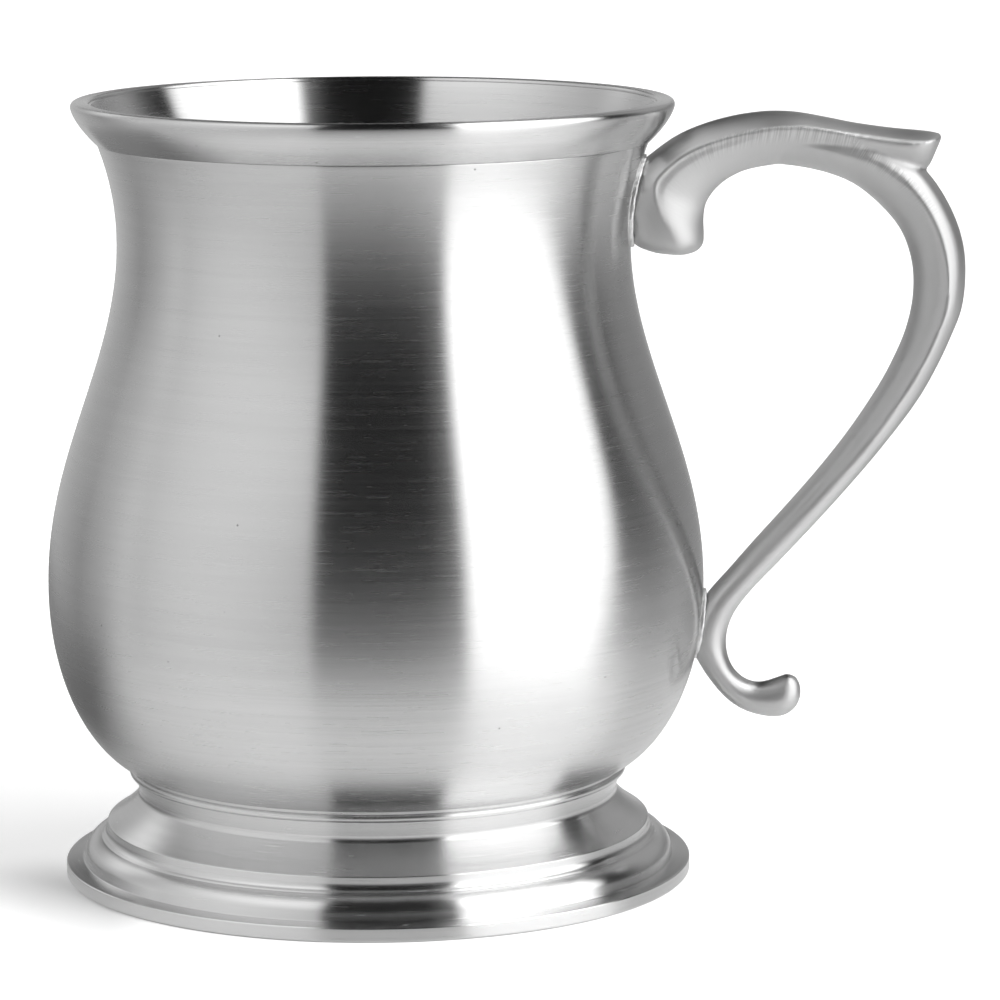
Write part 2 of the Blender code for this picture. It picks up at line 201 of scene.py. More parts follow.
class Bench:
    """The modelling tools that the pieces share, all of them Blender's own operators."""

    @staticmethod
    def clear_selection() -> None:
        """Deselects every object, the frame's nodes among them."""
        for item in bpy.context.selected_objects:
            item.select_set(False)

    @staticmethod
    def pick(*pieces: bpy.types.Object) -> None:
        """Selects these pieces alone and makes the first the active one."""
        Bench.clear_selection()
        for piece in pieces:
            piece.select_set(True)
        bpy.context.view_layer.objects.active = pieces[0]

    @staticmethod
    def named(name: str) -> bpy.types.Object:
        """Gives the active object and its mesh a name."""
        piece = bpy.context.object
        piece.name = name
        piece.data.name = name
        return piece

    @staticmethod
    def turn(name: str, outline: Outline, axis_x: float, steps: int, closed: bool = True) -> bpy.types.Object:
        """Draws an outline vertex by vertex and spins it round an upright axis, as on a lathe.

        Args:
            name: Name of the new piece.
            outline: Points (radius from the axis, height).
            axis_x: Place of the axis along X.
            steps: Number of facets round the piece.
            closed: Whether the last point is joined to the first, for a ring.

        Returns:
            The turned piece, closed and with its faces outwards.
        """
        Bench.clear_selection()
        bpy.ops.mesh.primitive_plane_add(size=MM, location=(0.0, 0.0, 0.0))
        piece = Bench.named(name)
        bpy.ops.object.mode_set(mode="EDIT")
        bpy.ops.mesh.select_mode(type="VERT")
        bpy.ops.mesh.select_all(action="SELECT")
        bpy.ops.mesh.merge(type="CENTER")
        bpy.ops.transform.translate(value=(axis_x + outline[0][0], 0.0, outline[0][1]))
        for (r0, z0), (r1, z1) in zip(outline, outline[1:]):
            bpy.ops.mesh.extrude_region_move(TRANSFORM_OT_translate={"value": (r1 - r0, 0.0, z1 - z0)})
        if closed:
            bm = bmesh.from_edit_mesh(piece.data)
            for vert in bm.verts:
                vert.select_set(len(vert.link_edges) < 2)
            bm.select_flush_mode()
            bmesh.update_edit_mesh(piece.data)
            bpy.ops.mesh.edge_face_add()
        bpy.ops.mesh.select_all(action="SELECT")
        bpy.ops.mesh.spin(steps=steps, angle=math.tau, center=(axis_x, 0.0, 0.0), axis=(0.0, 0.0, 1.0))
        bpy.ops.mesh.select_all(action="SELECT")
        bpy.ops.mesh.remove_doubles(threshold=MERGE_DISTANCE)
        bpy.ops.mesh.normals_make_consistent(inside=False)
        bpy.ops.object.mode_set(mode="OBJECT")
        bpy.ops.object.shade_smooth_by_angle(angle=SMOOTH_ANGLE)
        return piece

    @staticmethod
    def loft(name: str, rings: Sequence[Sequence[Vector]]) -> bpy.types.Object:
        """Extrudes a round face from ring to ring and shapes it to each of them.

        Args:
            name: Name of the new piece.
            rings: Rings with one number of points, each in the same order.

        Returns:
            The closed skin over all rings.
        """
        Bench.clear_selection()
        bpy.ops.mesh.primitive_circle_add(vertices=len(rings[0]), radius=MM, fill_type="NGON")
        piece = Bench.named(name)
        bpy.ops.object.mode_set(mode="EDIT")
        bpy.ops.mesh.select_mode(type="VERT")
        bpy.ops.mesh.select_all(action="SELECT")
        ahead: list[Vector] = []
        for number, ring in enumerate(rings):
            if number:
                bpy.ops.mesh.extrude_region_move()
            bm = bmesh.from_edit_mesh(piece.data)
            picked = [vert for vert in bm.verts if vert.select]
            if number:
                places = {tuple(point): i for i, point in enumerate(ahead)}
                picked.sort(key=lambda vert: places[tuple(vert.co)])
            for vert, point in zip(picked, ring):
                vert.co = point
            ahead = [vert.co.copy() for vert in picked]
            bmesh.update_edit_mesh(piece.data)
        bpy.ops.mesh.select_all(action="SELECT")
        bpy.ops.mesh.normals_make_consistent(inside=False)
        bpy.ops.object.mode_set(mode="OBJECT")
        return piece

    @staticmethod
    def apply(piece: bpy.types.Object, kind: str, **settings: object) -> None:
        """Adds a modifier with these settings and applies it.

        Args:
            piece: The piece that it changes.
            kind: The modifier's type.
            settings: Its properties.
        """
        Bench.pick(piece)
        modifier = piece.modifiers.new(kind.lower(), kind)
        for key, value in settings.items():
            setattr(modifier, key, value)
        bpy.ops.object.modifier_apply(modifier=modifier.name)

    @staticmethod
    def carve(piece: bpy.types.Object, tool: bpy.types.Object, cut: Cut) -> None:
        """Applies an exact Boolean with a tool, which is then thrown away."""
        Bench.apply(piece, "BOOLEAN", operation=cut.value, solver="EXACT", object=tool)
        bpy.data.objects.remove(tool)

    @staticmethod
    def smooth_skin(piece: bpy.types.Object, voxel: float, rounds: int) -> None:
        """Melts overlapping closed shapes into one skin and smooths it.

        Args:
            piece: The piece, of one or more closed shapes that overlap.
            voxel: Size of the new skin's facets.
            rounds: How often the skin is smoothed.
        """
        Bench.apply(piece, "REMESH", mode="VOXEL", voxel_size=voxel, use_smooth_shade=True)
        Bench.apply(piece, "SMOOTH", factor=0.5, iterations=rounds)


@dataclass(frozen=True)
class Vessel:
    """Sizes of the bell-shaped wall that every piece seats on, in metres."""

    axis_x: float
    height: float
    belly_r: float
    neck_r: float = 36.85 * MM
    mouth_flare: float = 5.45 * MM
    lip_proud: float = 0.85 * MM
    wall: float = 1.6 * MM
    floor_z: float = 15.4 * MM
    floor_flat_r: float = 32.15 * MM
    belly_z: float = 42.2 * MM
    neck_below_lip: float = 20.1 * MM
    band_height: float = 5.9 * MM
    cap: float = 1.3 * MM
    box_slack: float = 0.001 * MM
    shoulder_skew: float = 1.06
    flare_power: float = 2.08
    slope_step: float = 0.1 * MM

    @classmethod
    def from_frame(cls) -> Vessel:
        """Reads the axis, the height and the belly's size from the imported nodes."""
        low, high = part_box("body")
        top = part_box("lip_band")[1][2]
        return cls((low[0] + high[0]) / 2.0, top, (high[1] - low[1]) / 2.0 - cls.box_slack)

    @property
    def neck_z(self) -> float:
        """Height of the neck, where the wall is narrowest."""
        return self.height - self.neck_below_lip

    @property
    def band_z(self) -> float:
        """Height of the seam under the lip band."""
        return self.height - self.band_height

    @property
    def mouth_r(self) -> float:
        """Outside radius of the wall, drawn on to the top of the lip."""
        return self.neck_r + self.mouth_flare

    @property
    def lip_r(self) -> float:
        """Radius of the lip's outermost edge."""
        return self.mouth_r + self.lip_proud

    def wall_radius(self, z: float) -> float:
        """Outside radius of the wall at a height.

        Args:
            z: Height above the table.

        Returns:
            The radius: a quarter ellipse, an S-shaped shoulder or the flare.
        """
        if z <= self.belly_z:
            drop = (self.belly_z - z) / (self.belly_z - self.floor_z)
            return lerp(self.floor_flat_r, self.belly_r, math.sqrt(max(0.0, 1.0 - drop * drop)))
        if z <= self.neck_z:
            rise = (z - self.belly_z) / (self.neck_z - self.belly_z)
            turn = math.cos(math.pi * rise**self.shoulder_skew)
            return lerp(self.belly_r, self.neck_r, 0.5 - 0.5 * turn)
        rise = (z - self.neck_z) / (self.height - self.neck_z)
        return lerp(self.neck_r, self.mouth_r, rise**self.flare_power)

    def offset_radius(self, z: float, offset: float) -> float:
        """Radius of a surface set off square from the wall's outside.

        Args:
            z: Height above the table.
            offset: Distance outwards, below 0 for the bore.

        Returns:
            The radius there.
        """
        step = self.slope_step
        slope = (self.wall_radius(z + step) - self.wall_radius(z - step)) / (2.0 * step)
        return self.wall_radius(z) + offset * math.hypot(1.0, slope)

    def bowl(self, offset: float, steps: int) -> Outline:
        """The curve below the belly, from the axis outwards, moved off the outside by a distance.

        Args:
            offset: Distance outwards, below 0 for the bore.
            steps: Number of stretches.

        Returns:
            The points, from the axis to the belly.
        """
        radii = (self.belly_r - self.floor_flat_r + offset, self.belly_z - self.floor_z + offset)
        curve = arc((self.floor_flat_r, self.belly_z), radii, -90.0, 0.0, steps)
        return [(0.0, self.floor_z - offset)] + curve

    def solid(self, name: str, offset: float, steps: int = 180) -> bpy.types.Object:
        """A filled vessel set off from the outside, for cutting what meets the wall.

        Args:
            name: Name of the tool.
            offset: Distance outwards.
            steps: Number of facets round it.

        Returns:
            The closed solid.
        """
        side = [(self.offset_radius(z, offset), z) for z in spread(self.belly_z, self.height, 70)[1:]]
        outline = self.bowl(offset, 24) + side + [(0.0, self.height)]
        return Bench.turn(name, outline, self.axis_x, steps, closed=False)


@dataclass(frozen=True)
class Graph:
    """A shader tree, with short ways to add and link what the finishes and the studio use."""

    tree: bpy.types.NodeTree

    @classmethod
    def of(cls, owner: bpy.types.Material | bpy.types.World) -> Graph:
        """The shader tree of a new material or world."""
        owner.use_nodes = True
        return cls(owner.node_tree)

    @classmethod
    def grouped(cls, name: str, inputs: dict[str, float], outputs: Iterable[str]) -> tuple[Graph, Sequence[Socket]]:
        """Begins a node group with a Vector input for the place.

        Args:
            name: Name of the group.
            inputs: Float inputs with their usual values.
            outputs: Names of the float outputs.

        Returns:
            The group's graph, and the sockets that give what is put in.
        """
        tree = bpy.data.node_groups.new(name, "ShaderNodeTree")
        tree.interface.new_socket("Place", in_out="INPUT", socket_type="NodeSocketVector")
        for key, value in inputs.items():
            socket = tree.interface.new_socket(key, in_out="INPUT", socket_type="NodeSocketFloat")
            socket.default_value = value
        for key in outputs:
            tree.interface.new_socket(key, in_out="OUTPUT", socket_type="NodeSocketFloat")
        return cls(tree), tree.nodes.new("NodeGroupInput").outputs

    def finished(self, results: Inputs) -> bpy.types.NodeTree:
        """Feeds a group's outputs and returns its tree."""
        self.feed(self.tree.nodes.new("NodeGroupOutput"), results)
        return self.tree

    def feed(self, node: bpy.types.Node, inputs: Inputs) -> None:
        """Links outputs to a node's inputs, by name or number, or sets these to plain values.

        Args:
            node: The node that takes them.
            inputs: Sockets or plain values by the input's name or number.
        """
        for key, value in inputs.items():
            if isinstance(value, Socket):
                self.tree.links.new(value, node.inputs[key])
            else:
                node.inputs[key].default_value = value

    def node(self, kind: str, inputs: Inputs | None = None, **settings: object) -> bpy.types.Node:
        """Adds a shader node, sets its properties and feeds its inputs.

        Args:
            kind: The node's type, without its prefix.
            inputs: What feeds it.
            settings: Its properties.

        Returns:
            The node.
        """
        made = self.tree.nodes.new("ShaderNode" + kind)
        for key, value in settings.items():
            setattr(made, key, value)
        self.feed(made, inputs or {})
        return made

    def math(self, operation: str, *values: object) -> Socket:
        """A Math node's result."""
        return self.node("Math", dict(enumerate(values)), operation=operation).outputs[0]

    def times(self, *values: object) -> Socket:
        """The product of all values."""
        return reduce(lambda product, value: self.math("MULTIPLY", product, value), values)

    def plus(self, *values: object) -> Socket:
        """The sum of all values."""
        return reduce(lambda total, value: self.math("ADD", total, value), values)

    def less(self, share: Socket) -> Socket:
        """What a share leaves of one."""
        return self.math("SUBTRACT", 1.0, share)

    def remap(self, value: object, source: Range, target: Range = WHOLE, kind: str = "SMOOTHSTEP") -> Socket:
        """A value eased from one range into another, and held at its ends."""
        inputs = dict(enumerate((value, *source, *target)))
        return self.node("MapRange", inputs, interpolation_type=kind).outputs[0]

    def ramp(self, value: object, source: Range, target: Range = WHOLE) -> Socket:
        """A value taken straight from one range into another, and held at its ends."""
        return self.remap(value, source, target, "LINEAR")

    def swing(self, value: Socket, amount: float) -> Socket:
        """A noise's value as a swing by an amount to both sides of nothing."""
        return self.remap(value, NOISE_MIDDLE, (-amount, amount))

    def windows(self, ways: Mapping[str, Socket], rows: Windows) -> Socket:
        """The product of eased windows, each a named value with its source and, if need be, its target range."""
        return self.times(*(self.remap(ways[name], *ranges) for name, *ranges in rows))

    def between(self, share: Socket, start: object, end: object) -> Socket:
        """A value that goes over from one to the other."""
        return self.node("Mix", {0: share, 2: start, 3: end}, data_type="FLOAT").outputs[0]

    def blend(self, share: Socket, first: bpy.types.Node, second: bpy.types.Node) -> bpy.types.Node:
        """A mix of two shaders."""
        return self.node("MixShader", {0: share, 1: first.outputs[0], 2: second.outputs[0]})

    def parts(self, vector: Socket) -> Sequence[Socket]:
        """The three parts of a vector."""
        return self.node("SeparateXYZ", {0: vector}).outputs

    def place(self) -> Socket:
        """Object coordinates."""
        return self.node("TexCoord").outputs["Object"]

    def mapped(self, vector: Socket, **changes: Sequence[float]) -> Socket:
        """A vector changed by a Mapping node's Location, Rotation or Scale."""
        return self.node("Mapping", {"Vector": vector, **changes}).outputs[0]

    def centred(self, axis_x: float) -> Socket:
        """Object coordinates, counted from the turned axis."""
        return self.mapped(self.place(), Location=(-axis_x, 0.0, 0.0))

    def noise(self, vector: Socket, scale: object = 1.0, detail: float = 2.0, roughness: float = 0.5) -> Socket:
        """A noise texture's value."""
        inputs = {"Vector": vector, "Scale": scale, "Detail": detail, "Roughness": roughness}
        return self.node("TexNoise", inputs).outputs[0]

    def marks(self, group: bpy.types.NodeTree, **inputs: object) -> Sequence[Socket]:
        """The outputs of a node group that is placed here and fed."""
        return self.node("Group", inputs, node_tree=group).outputs


class Marks:
    """Node groups for the marks that tools and use leave in the metal, each built once."""

    @staticmethod
    @cache
    def lathe() -> bpy.types.NodeTree:
        """Fine rings of brushing round an axis, in broken arcs.

        Returns:
            A group that puts out the height of the scratches and a slow unevenness between bands.
        """
        inputs = {"Arcs": 0.9, "Fineness": 3000.0, "Bands": 700.0}
        graph, given = Graph.grouped("lathe_brushing", inputs, ("Scratches", "Bands"))
        x, y, z = graph.parts(given["Place"])
        radius = graph.math("SQRT", graph.plus(graph.times(x, x), graph.times(y, y)))
        radius = graph.math("MAXIMUM", radius, MM)
        results = []
        for fineness in (given["Fineness"], given["Bands"]):
            turned = [graph.times(graph.math("DIVIDE", part, radius), given["Arcs"]) for part in (x, y)]
            spot = graph.node("CombineXYZ", dict(enumerate((*turned, graph.times(z, fineness)))))
            grain = {"Vector": spot.outputs[0], "W": graph.times(radius, fineness)}
            grain |= {"Scale": 1.0, "Detail": 3.0, "Roughness": 0.6}
            results.append(graph.node("TexNoise", grain, noise_dimensions="4D").outputs[0])
        return graph.finished(dict(enumerate(results)))

    @staticmethod
    @cache
    def handling() -> bpy.types.NodeTree:
        """Soft clouds of wear and a few short stray scratches and pits, as use leaves them.

        Returns:
            A group that puts out clouds, stray scratches and pits, each from 0 to 1.
        """
        outputs = ("Clouds", "Strays", "Pits")
        graph, given = Graph.grouped("handling_marks", {"Clouds": 60.0, "Pits": 160.0}, outputs)
        place = given["Place"]
        clouds = graph.noise(place, given["Clouds"], detail=4.0, roughness=0.55)
        strays = graph.noise(graph.mapped(place, Rotation=(0.35, 0.5, 0.2), Scale=(140.0, 140.0, 5200.0)))
        cells = graph.node("TexVoronoi", {"Vector": place, "Scale": given["Pits"]}, feature="F1")
        strays = graph.remap(strays, (0.62, 0.72))
        pits = graph.remap(cells.outputs["Distance"], (0.035, 0.012))
        return graph.finished(dict(zip(outputs, (clouds, strays, pits))))


@dataclass(frozen=True)
class Finish:
    """Bare metal, whose tone, roughness and fine relief follow from the kind of work that it had."""

    name: str
    tone: float = 0.62
    roughness: float = 0.25
    scratch_depth: float = 0.003 * MM
    anisotropy: float = 0.0

    def work(self, graph: Graph) -> tuple[Socket, Socket, Socket]:
        """The tone, the roughness and the height over the surface."""
        raise NotImplementedError

    def material(self) -> bpy.types.Material:
        """Builds the finish as a Principled material with its tool marks.

        Returns:
            The material, bare metal all over.
        """
        made = bpy.data.materials.new(self.name)
        graph = Graph.of(made)
        tone, rough, height = self.work(graph)
        colour = graph.node("CombineColor", dict.fromkeys(range(3), tone))
        bump = graph.node("Bump", {"Strength": 1.0, "Distance": self.scratch_depth, "Height": height})
        inputs = {"Metallic": 1.0, "Base Color": colour.outputs[0], "Roughness": rough, "Normal": bump.outputs[0]}
        if self.anisotropy:
            inputs |= {"Anisotropic": self.anisotropy, "Anisotropic Rotation": QUARTER_TURN}
        graph.feed(graph.tree.nodes["Principled BSDF"], inputs)
        return made


@dataclass(frozen=True)
class TurnedFinish(Finish):
    """Pewter brushed round its axis on the lathe."""

    anisotropy: float = 0.98
    axis_x: float = 0.0
    fineness: float = 3000.0
    tone_range: float = 0.011
    cloud_share: float = 0.3
    pit_dark: float = 0.3
    scratch_rough: float = 0.02
    stray_rough: float = 0.05

    def work(self, graph: Graph) -> tuple[Socket, Socket, Socket]:
        """Rings of brushing, uneven between bands, with soft clouds, stray scratches and pits.

        Args:
            graph: The material's shader tree.

        Returns:
            Tone, roughness and height.
        """
        place = graph.centred(self.axis_x)
        rings = graph.marks(Marks.lathe(), Place=place, Fineness=self.fineness)
        wear = graph.marks(Marks.handling(), Place=place)
        cloud = graph.swing(wear["Clouds"], self.cloud_share * self.tone_range)
        tone = graph.plus(graph.swing(rings["Bands"], self.tone_range), cloud, self.tone)
        tone = graph.math("SUBTRACT", tone, graph.times(wear["Pits"], self.pit_dark))
        rough = graph.plus(graph.swing(rings["Scratches"], self.scratch_rough), self.roughness)
        rough = graph.plus(rough, graph.times(wear["Strays"], self.stray_rough))
        return tone, rough, rings["Scratches"]


@dataclass(frozen=True)
class CastFinish(Finish):
    """Pewter cast, filed and brushed by hand, with its scratches across the bar and along its crown.

    A stroke's scale is how often it changes per metre along the bar, across it and up its section.
    """

    tone: float = 0.6
    roughness: float = 0.52
    crown_roughness: float = 0.37
    scratch_depth: float = 0.018 * MM
    cheek_strokes: Triple = (2300.0, 260.0, 1.0)
    crown_strokes: Triple = (240.0, 2300.0, 1.0)
    comb_strokes: Triple = (3600.0, 150.0, 1.0)
    comb_tone: float = 0.07
    comb_height: float = 0.4
    comb_contrast: Range = (0.4, 0.62)
    ridge: Windows = (("around", (4.6 * MM, 5.0 * MM)), ("around", (7.0 * MM, 5.4 * MM)))
    arch: Windows = (("along", (3.0 * MM, 9.0 * MM)), ("along", (48.0 * MM, 34.0 * MM)))
    cloud_tone: float = 0.03
    cloud_rough: float = 0.04
    pit_dark: float = 0.2

    def work(self, graph: Graph) -> tuple[Socket, Socket, Socket]:
        """Strokes laid by the piece's own place attribute, with combed marks over the arch's ridges.

        Args:
            graph: The material's shader tree.

        Returns:
            Tone, roughness and height.
        """
        place = graph.node("Attribute", attribute_name=ScrollHandle.PLACE).outputs["Vector"]
        along, across, on_crown = graph.parts(place)
        strokes = (graph.noise(graph.mapped(place, Scale=scale), detail=2.5, roughness=0.6)
                   for scale in (self.cheek_strokes, self.crown_strokes))
        brushed = graph.between(on_crown, *strokes)
        comb = graph.remap(graph.noise(graph.mapped(place, Scale=self.comb_strokes)), self.comb_contrast, (-1.0, 1.0))
        ways = {"along": along, "around": graph.math("ABSOLUTE", across)}
        comb = graph.times(comb, graph.windows(ways, self.ridge + self.arch))
        wear = graph.marks(Marks.handling(), Place=graph.place())
        tone = graph.plus(graph.swing(wear["Clouds"], self.cloud_tone), self.tone)
        tone = graph.math("SUBTRACT", tone, graph.times(wear["Pits"], self.pit_dark))
        tone = graph.plus(tone, graph.times(comb, self.comb_tone))
        smooth = graph.ramp(on_crown, WHOLE, (self.roughness, self.crown_roughness))
        rough = graph.plus(graph.swing(wear["Clouds"], self.cloud_rough), smooth)
        return tone, rough, graph.plus(brushed, graph.times(comb, self.comb_height))


@dataclass(frozen=True)
class SolderFinish(Finish):
    """Soft solder, brighter than the pewter and left as it froze."""

    tone: float = 0.74
    roughness: float = 0.4
    scratch_depth: float = 0.03 * MM
    grain: float = 1400.0
    tone_range: float = 0.06
    dull: float = 0.08
    bright: float = 0.05

    def work(self, graph: Graph) -> tuple[Socket, Socket, Socket]:
        """One soft grain for all three.

        Args:
            graph: The material's shader tree.

        Returns:
            Tone, roughness and height.
        """
        grain = graph.noise(graph.place(), self.grain, detail=3.0)
        tone = graph.remap(grain, NOISE_MIDDLE, (self.tone - self.tone_range, self.tone + self.tone_range))
        rough = graph.remap(grain, NOISE_MIDDLE, (self.roughness + self.dull, self.roughness - self.bright))
        return tone, rough, grain


@dataclass
class Piece:
    """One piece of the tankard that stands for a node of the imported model."""

    name: str
    node: str
    slot: Slot

    def register(self, shape: bpy.types.Object, finish: bpy.types.Material) -> bpy.types.Object:
        """Dresses the shape, hangs it on the root body and hides the node that it stands for.

        Args:
            shape: The finished mesh object, at the origin.
            finish: Its material.

        Returns:
            The same object.
        """
        shape.data.materials.clear()
        shape.data.materials.append(finish)
        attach(shape, "root")
        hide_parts(self.node)
        LOG.info("%s: %d faces for node %s", self.name, len(shape.data.polygons), self.node)
        return shape


@dataclass
class TurnedPiece(Piece):
    """A piece that is spun from its outline, as on a lathe."""

    finish: str = ""
    tone: float = 0.66
    roughness: float = 0.25
    stretch: float = 0.3 * MM
    facets: int = 256
    ring: bool = True

    def outline(self, vessel: Vessel) -> Outline:
        """The outline, as points (radius from the axis, height)."""
        raise NotImplementedError

    def build(self, vessel: Vessel) -> bpy.types.Object:
        """Turns and dresses the piece.

        Args:
            vessel: The wall that every piece seats on.

        Returns:
            The finished piece.
        """
        outline = divided(self.outline(vessel), self.stretch)
        shape = Bench.turn(self.name, outline, vessel.axis_x, self.facets, self.ring)
        finish = TurnedFinish(self.finish, self.tone, self.roughness, axis_x=vessel.axis_x)
        return self.register(shape, finish.material())


@dataclass
class BodyShell(TurnedPiece):
    """The spun body: wall and floor in one, tucked under the lip band at the top."""

    name: str = "bell_body"
    node: str = "body"
    slot: Slot = Slot.BODY
    finish: str = "pewter_brushed_body"
    tone: float = 0.62
    stretch: float = 0.9 * MM
    facets: int = 240
    ring: bool = False
    seam_round: float = 0.18 * MM
    seam_gap: float = 0.02 * MM
    tuck: float = 0.5 * MM
    rebate: float = 0.72 * MM
    rebate_rise: float = 0.3 * MM

    def outline(self, vessel: Vessel) -> Outline:
        """The body's outline, up the outside, over the top under the band, and down the bore.

        Args:
            vessel: The wall that every piece seats on.

        Returns:
            Points (radius, height), from the axis back to the axis.
        """
        seam, top = vessel.band_z, vessel.height - vessel.cap
        outside = vessel.bowl(0.0, 60)
        outside += [(vessel.wall_radius(z), z) for z in spread(vessel.belly_z, seam, 90)[1:]]
        rim = [(vessel.wall_radius(seam) - self.tuck, seam + self.seam_gap)]
        rim += [(vessel.wall_radius(z) - self.rebate, z) for z in spread(seam + self.rebate_rise, top, 6)]
        inside = [(vessel.offset_radius(z, -vessel.wall), z) for z in spread(vessel.belly_z, top, 80)[:0:-1]]
        return eased(outside + rim, self.seam_round) + inside + vessel.bowl(-vessel.wall, 50)[::-1]


@dataclass
class LipRing(TurnedPiece):
    """The turned band with the rolled lip, lapped over the body's top edge."""

    name: str = "lip_ring"
    node: str = "lip_band"
    slot: Slot = Slot.LIP
    finish: str = "pewter_turned_lip"
    tone: float = 0.63
    roughness: float = 0.24
    stretch: float = 0.35 * MM
    proud: float = 0.2 * MM
    swell: float = 1.5
    seam_gap: float = 0.02 * MM
    edge_round: float = 0.05 * MM
    outer_round: float = 0.75 * MM
    inner_round: float = 0.5 * MM
    tuck: Range = (0.65 * MM, 0.1 * MM)
    face_rise: float = 0.03 * MM
    bore_drop: float = 0.55 * MM
    rebate: float = 0.74 * MM
    rebate_rise: float = 0.2 * MM

    def outline(self, vessel: Vessel) -> Outline:
        """The band's outline, from the seam up the outside, over the lip and down to the bore.

        Args:
            vessel: The wall that every piece seats on.

        Returns:
            Points (radius, height), all round the ring.
        """
        low, shoulder = vessel.band_z + self.seam_gap, vessel.height - self.outer_round
        step = vessel.wall_radius(vessel.band_z) + self.proud
        face = [(step - tuck, low) for tuck in self.tuck]
        for z in spread(low + self.face_rise, shoulder, 30)[:-1]:
            rise = (z - low) / (shoulder - low)
            face.append((vessel.lip_r - (vessel.lip_r - step) * (1.0 - rise) ** self.swell, z))
        bore = vessel.offset_radius(vessel.height, -vessel.wall)
        lip = arc((vessel.lip_r - self.outer_round, shoulder), (self.outer_round,) * 2, 0.0, 90.0, 12)
        inner_centre = (bore + self.inner_round, vessel.height - self.inner_round)
        lip += arc(inner_centre, (self.inner_round,) * 2, 90.0, 175.0, 10)
        top, under = vessel.height - self.bore_drop, vessel.height - vessel.cap
        inside = [(vessel.offset_radius(z, -vessel.wall), z) for z in spread(top, under, 4)]
        end = vessel.band_z + self.rebate_rise
        seat = [(vessel.wall_radius(z) - self.rebate, z) for z in spread(under, end, 8)]
        return eased(face, self.edge_round, steps=3) + lip + inside + seat


@dataclass
class MouldedFoot(TurnedPiece):
    """The hollow foot: flange, ovolo, fillet, riser, the hollow curve and the collar under the floor.

    The scotia is the hollow curve on the outside: two arcs with their radii, and their tilts in degrees at its
    foot, where they meet and at its top. Inside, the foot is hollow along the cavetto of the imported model.
    """

    name: str = "moulded_foot"
    node: str = "foot"
    slot: Slot = Slot.FOOT
    finish: str = "pewter_turned_foot"
    roughness: float = 0.22
    flange_width: float = 2.6 * MM
    flange_height: float = 2.1 * MM
    flange_edge: float = 0.28 * MM
    flange_top: tuple[float, float] = (0.12 * MM, 2.35 * MM)
    ovolo_width: float = 3.25 * MM
    ovolo_rise: float = 2.95 * MM
    ovolo_base_z: float = 2.75 * MM
    ovolo_span: Range = (20.0, 78.0)
    fillet: tuple[float, float] = (0.95 * MM, 1.15 * MM)
    fillet_span: Range = (250.0, 180.0)
    step_width: float = 0.5 * MM
    riser_low: float = 6.95 * MM
    riser_top: float = 7.85 * MM
    riser_out: float = 0.3 * MM
    riser_edge: float = 0.08 * MM
    cavetto_r: float = 4.5 * MM
    cavetto_base_z: float = 7.45 * MM
    cavetto_span: Range = (200.0, 250.0)
    scotia_r: tuple[float, float] = (16.48 * MM, 1.0 * MM)
    scotia_tilt: Triple = (60.0, 40.0, 4.0)
    collar_width: float = 3.4 * MM
    collar_top: float = 15.45 * MM
    collar_edge: float = 0.3 * MM
    lean: float = 0.95 * MM
    wall: float = 2.0 * MM
    floor_gap: float = 0.1 * MM
    corner_round: float = 0.11 * MM

    def collar_r(self) -> float:
        """Outside radius of the collar that carries the floor."""
        low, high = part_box(self.node)
        foot_r = (high[1] - low[1]) / 2.0
        return foot_r - self.flange_width - self.ovolo_width - self.step_width - self.cavetto_r

    def scotia(self, foot: tuple[float, float]) -> Outline:
        """The hollow from the edge of the riser up to the collar: a flat curve that ends in a tight one.

        Args:
            foot: Radius and height of its lower end.

        Returns:
            The points, from the riser to the collar.
        """
        curve = [foot]
        for radius, low, high in zip(self.scotia_r, self.scotia_tilt, self.scotia_tilt[1:]):
            turn = math.radians(low)
            centre = (curve[-1][0] + radius * math.cos(turn), curve[-1][1] + radius * math.sin(turn))
            curve += arc(centre, (radius,) * 2, 180.0 + low, 180.0 + high, 20)[1:]
        return curve

    def outline(self, vessel: Vessel) -> Outline:
        """The foot's outline, from the table up the mouldings and down the hollow.

        Args:
            vessel: The wall that every piece seats on.

        Returns:
            Points (radius, height), all round the ring.
        """
        collar = self.collar_r()
        hollow_edge = collar + self.cavetto_r
        step = hollow_edge + self.step_width
        ovolo = step + self.ovolo_width
        rim = ovolo + self.flange_width
        edge = self.flange_edge
        outside = [(rim - edge, 0.0), (rim, edge), (rim, self.flange_height - 0.5 * edge)]
        outside += [(rim - 0.5 * edge, self.flange_height), (ovolo + self.flange_top[0], self.flange_top[1])]
        outside += arc((step, self.ovolo_base_z), (self.ovolo_width, self.ovolo_rise), *self.ovolo_span, 24)
        riser = hollow_edge + self.riser_out
        outside += arc((riser + self.fillet[0], self.riser_low), self.fillet, *self.fillet_span, 12)
        outside.append((riser, self.riser_top - self.riser_edge))
        outside += self.scotia((riser - self.riser_edge, self.riser_top))
        throat = outside[-1][1]
        outside += [(collar + self.lean * t, lerp(throat, self.collar_top, t)) for t in spread(0.08, 1.0, 8)]
        outside.append((collar - self.collar_edge, self.collar_top + self.collar_edge))
        centre = (hollow_edge, self.cavetto_base_z + self.cavetto_r)
        bore = collar - self.collar_width
        hollow = [(bore, vessel.floor_z + self.floor_gap), (bore, centre[1])]
        hollow += arc(centre, (self.cavetto_r + self.wall,) * 2, *self.cavetto_span, 6)
        hollow.append((step - 0.6 * self.wall, self.ovolo_base_z + self.ovolo_rise - self.wall))
        hollow += [(ovolo - self.wall, self.ovolo_base_z - self.wall / 2.0), (ovolo - self.wall, 0.0)]
        return eased(outside, self.corner_round) + hollow


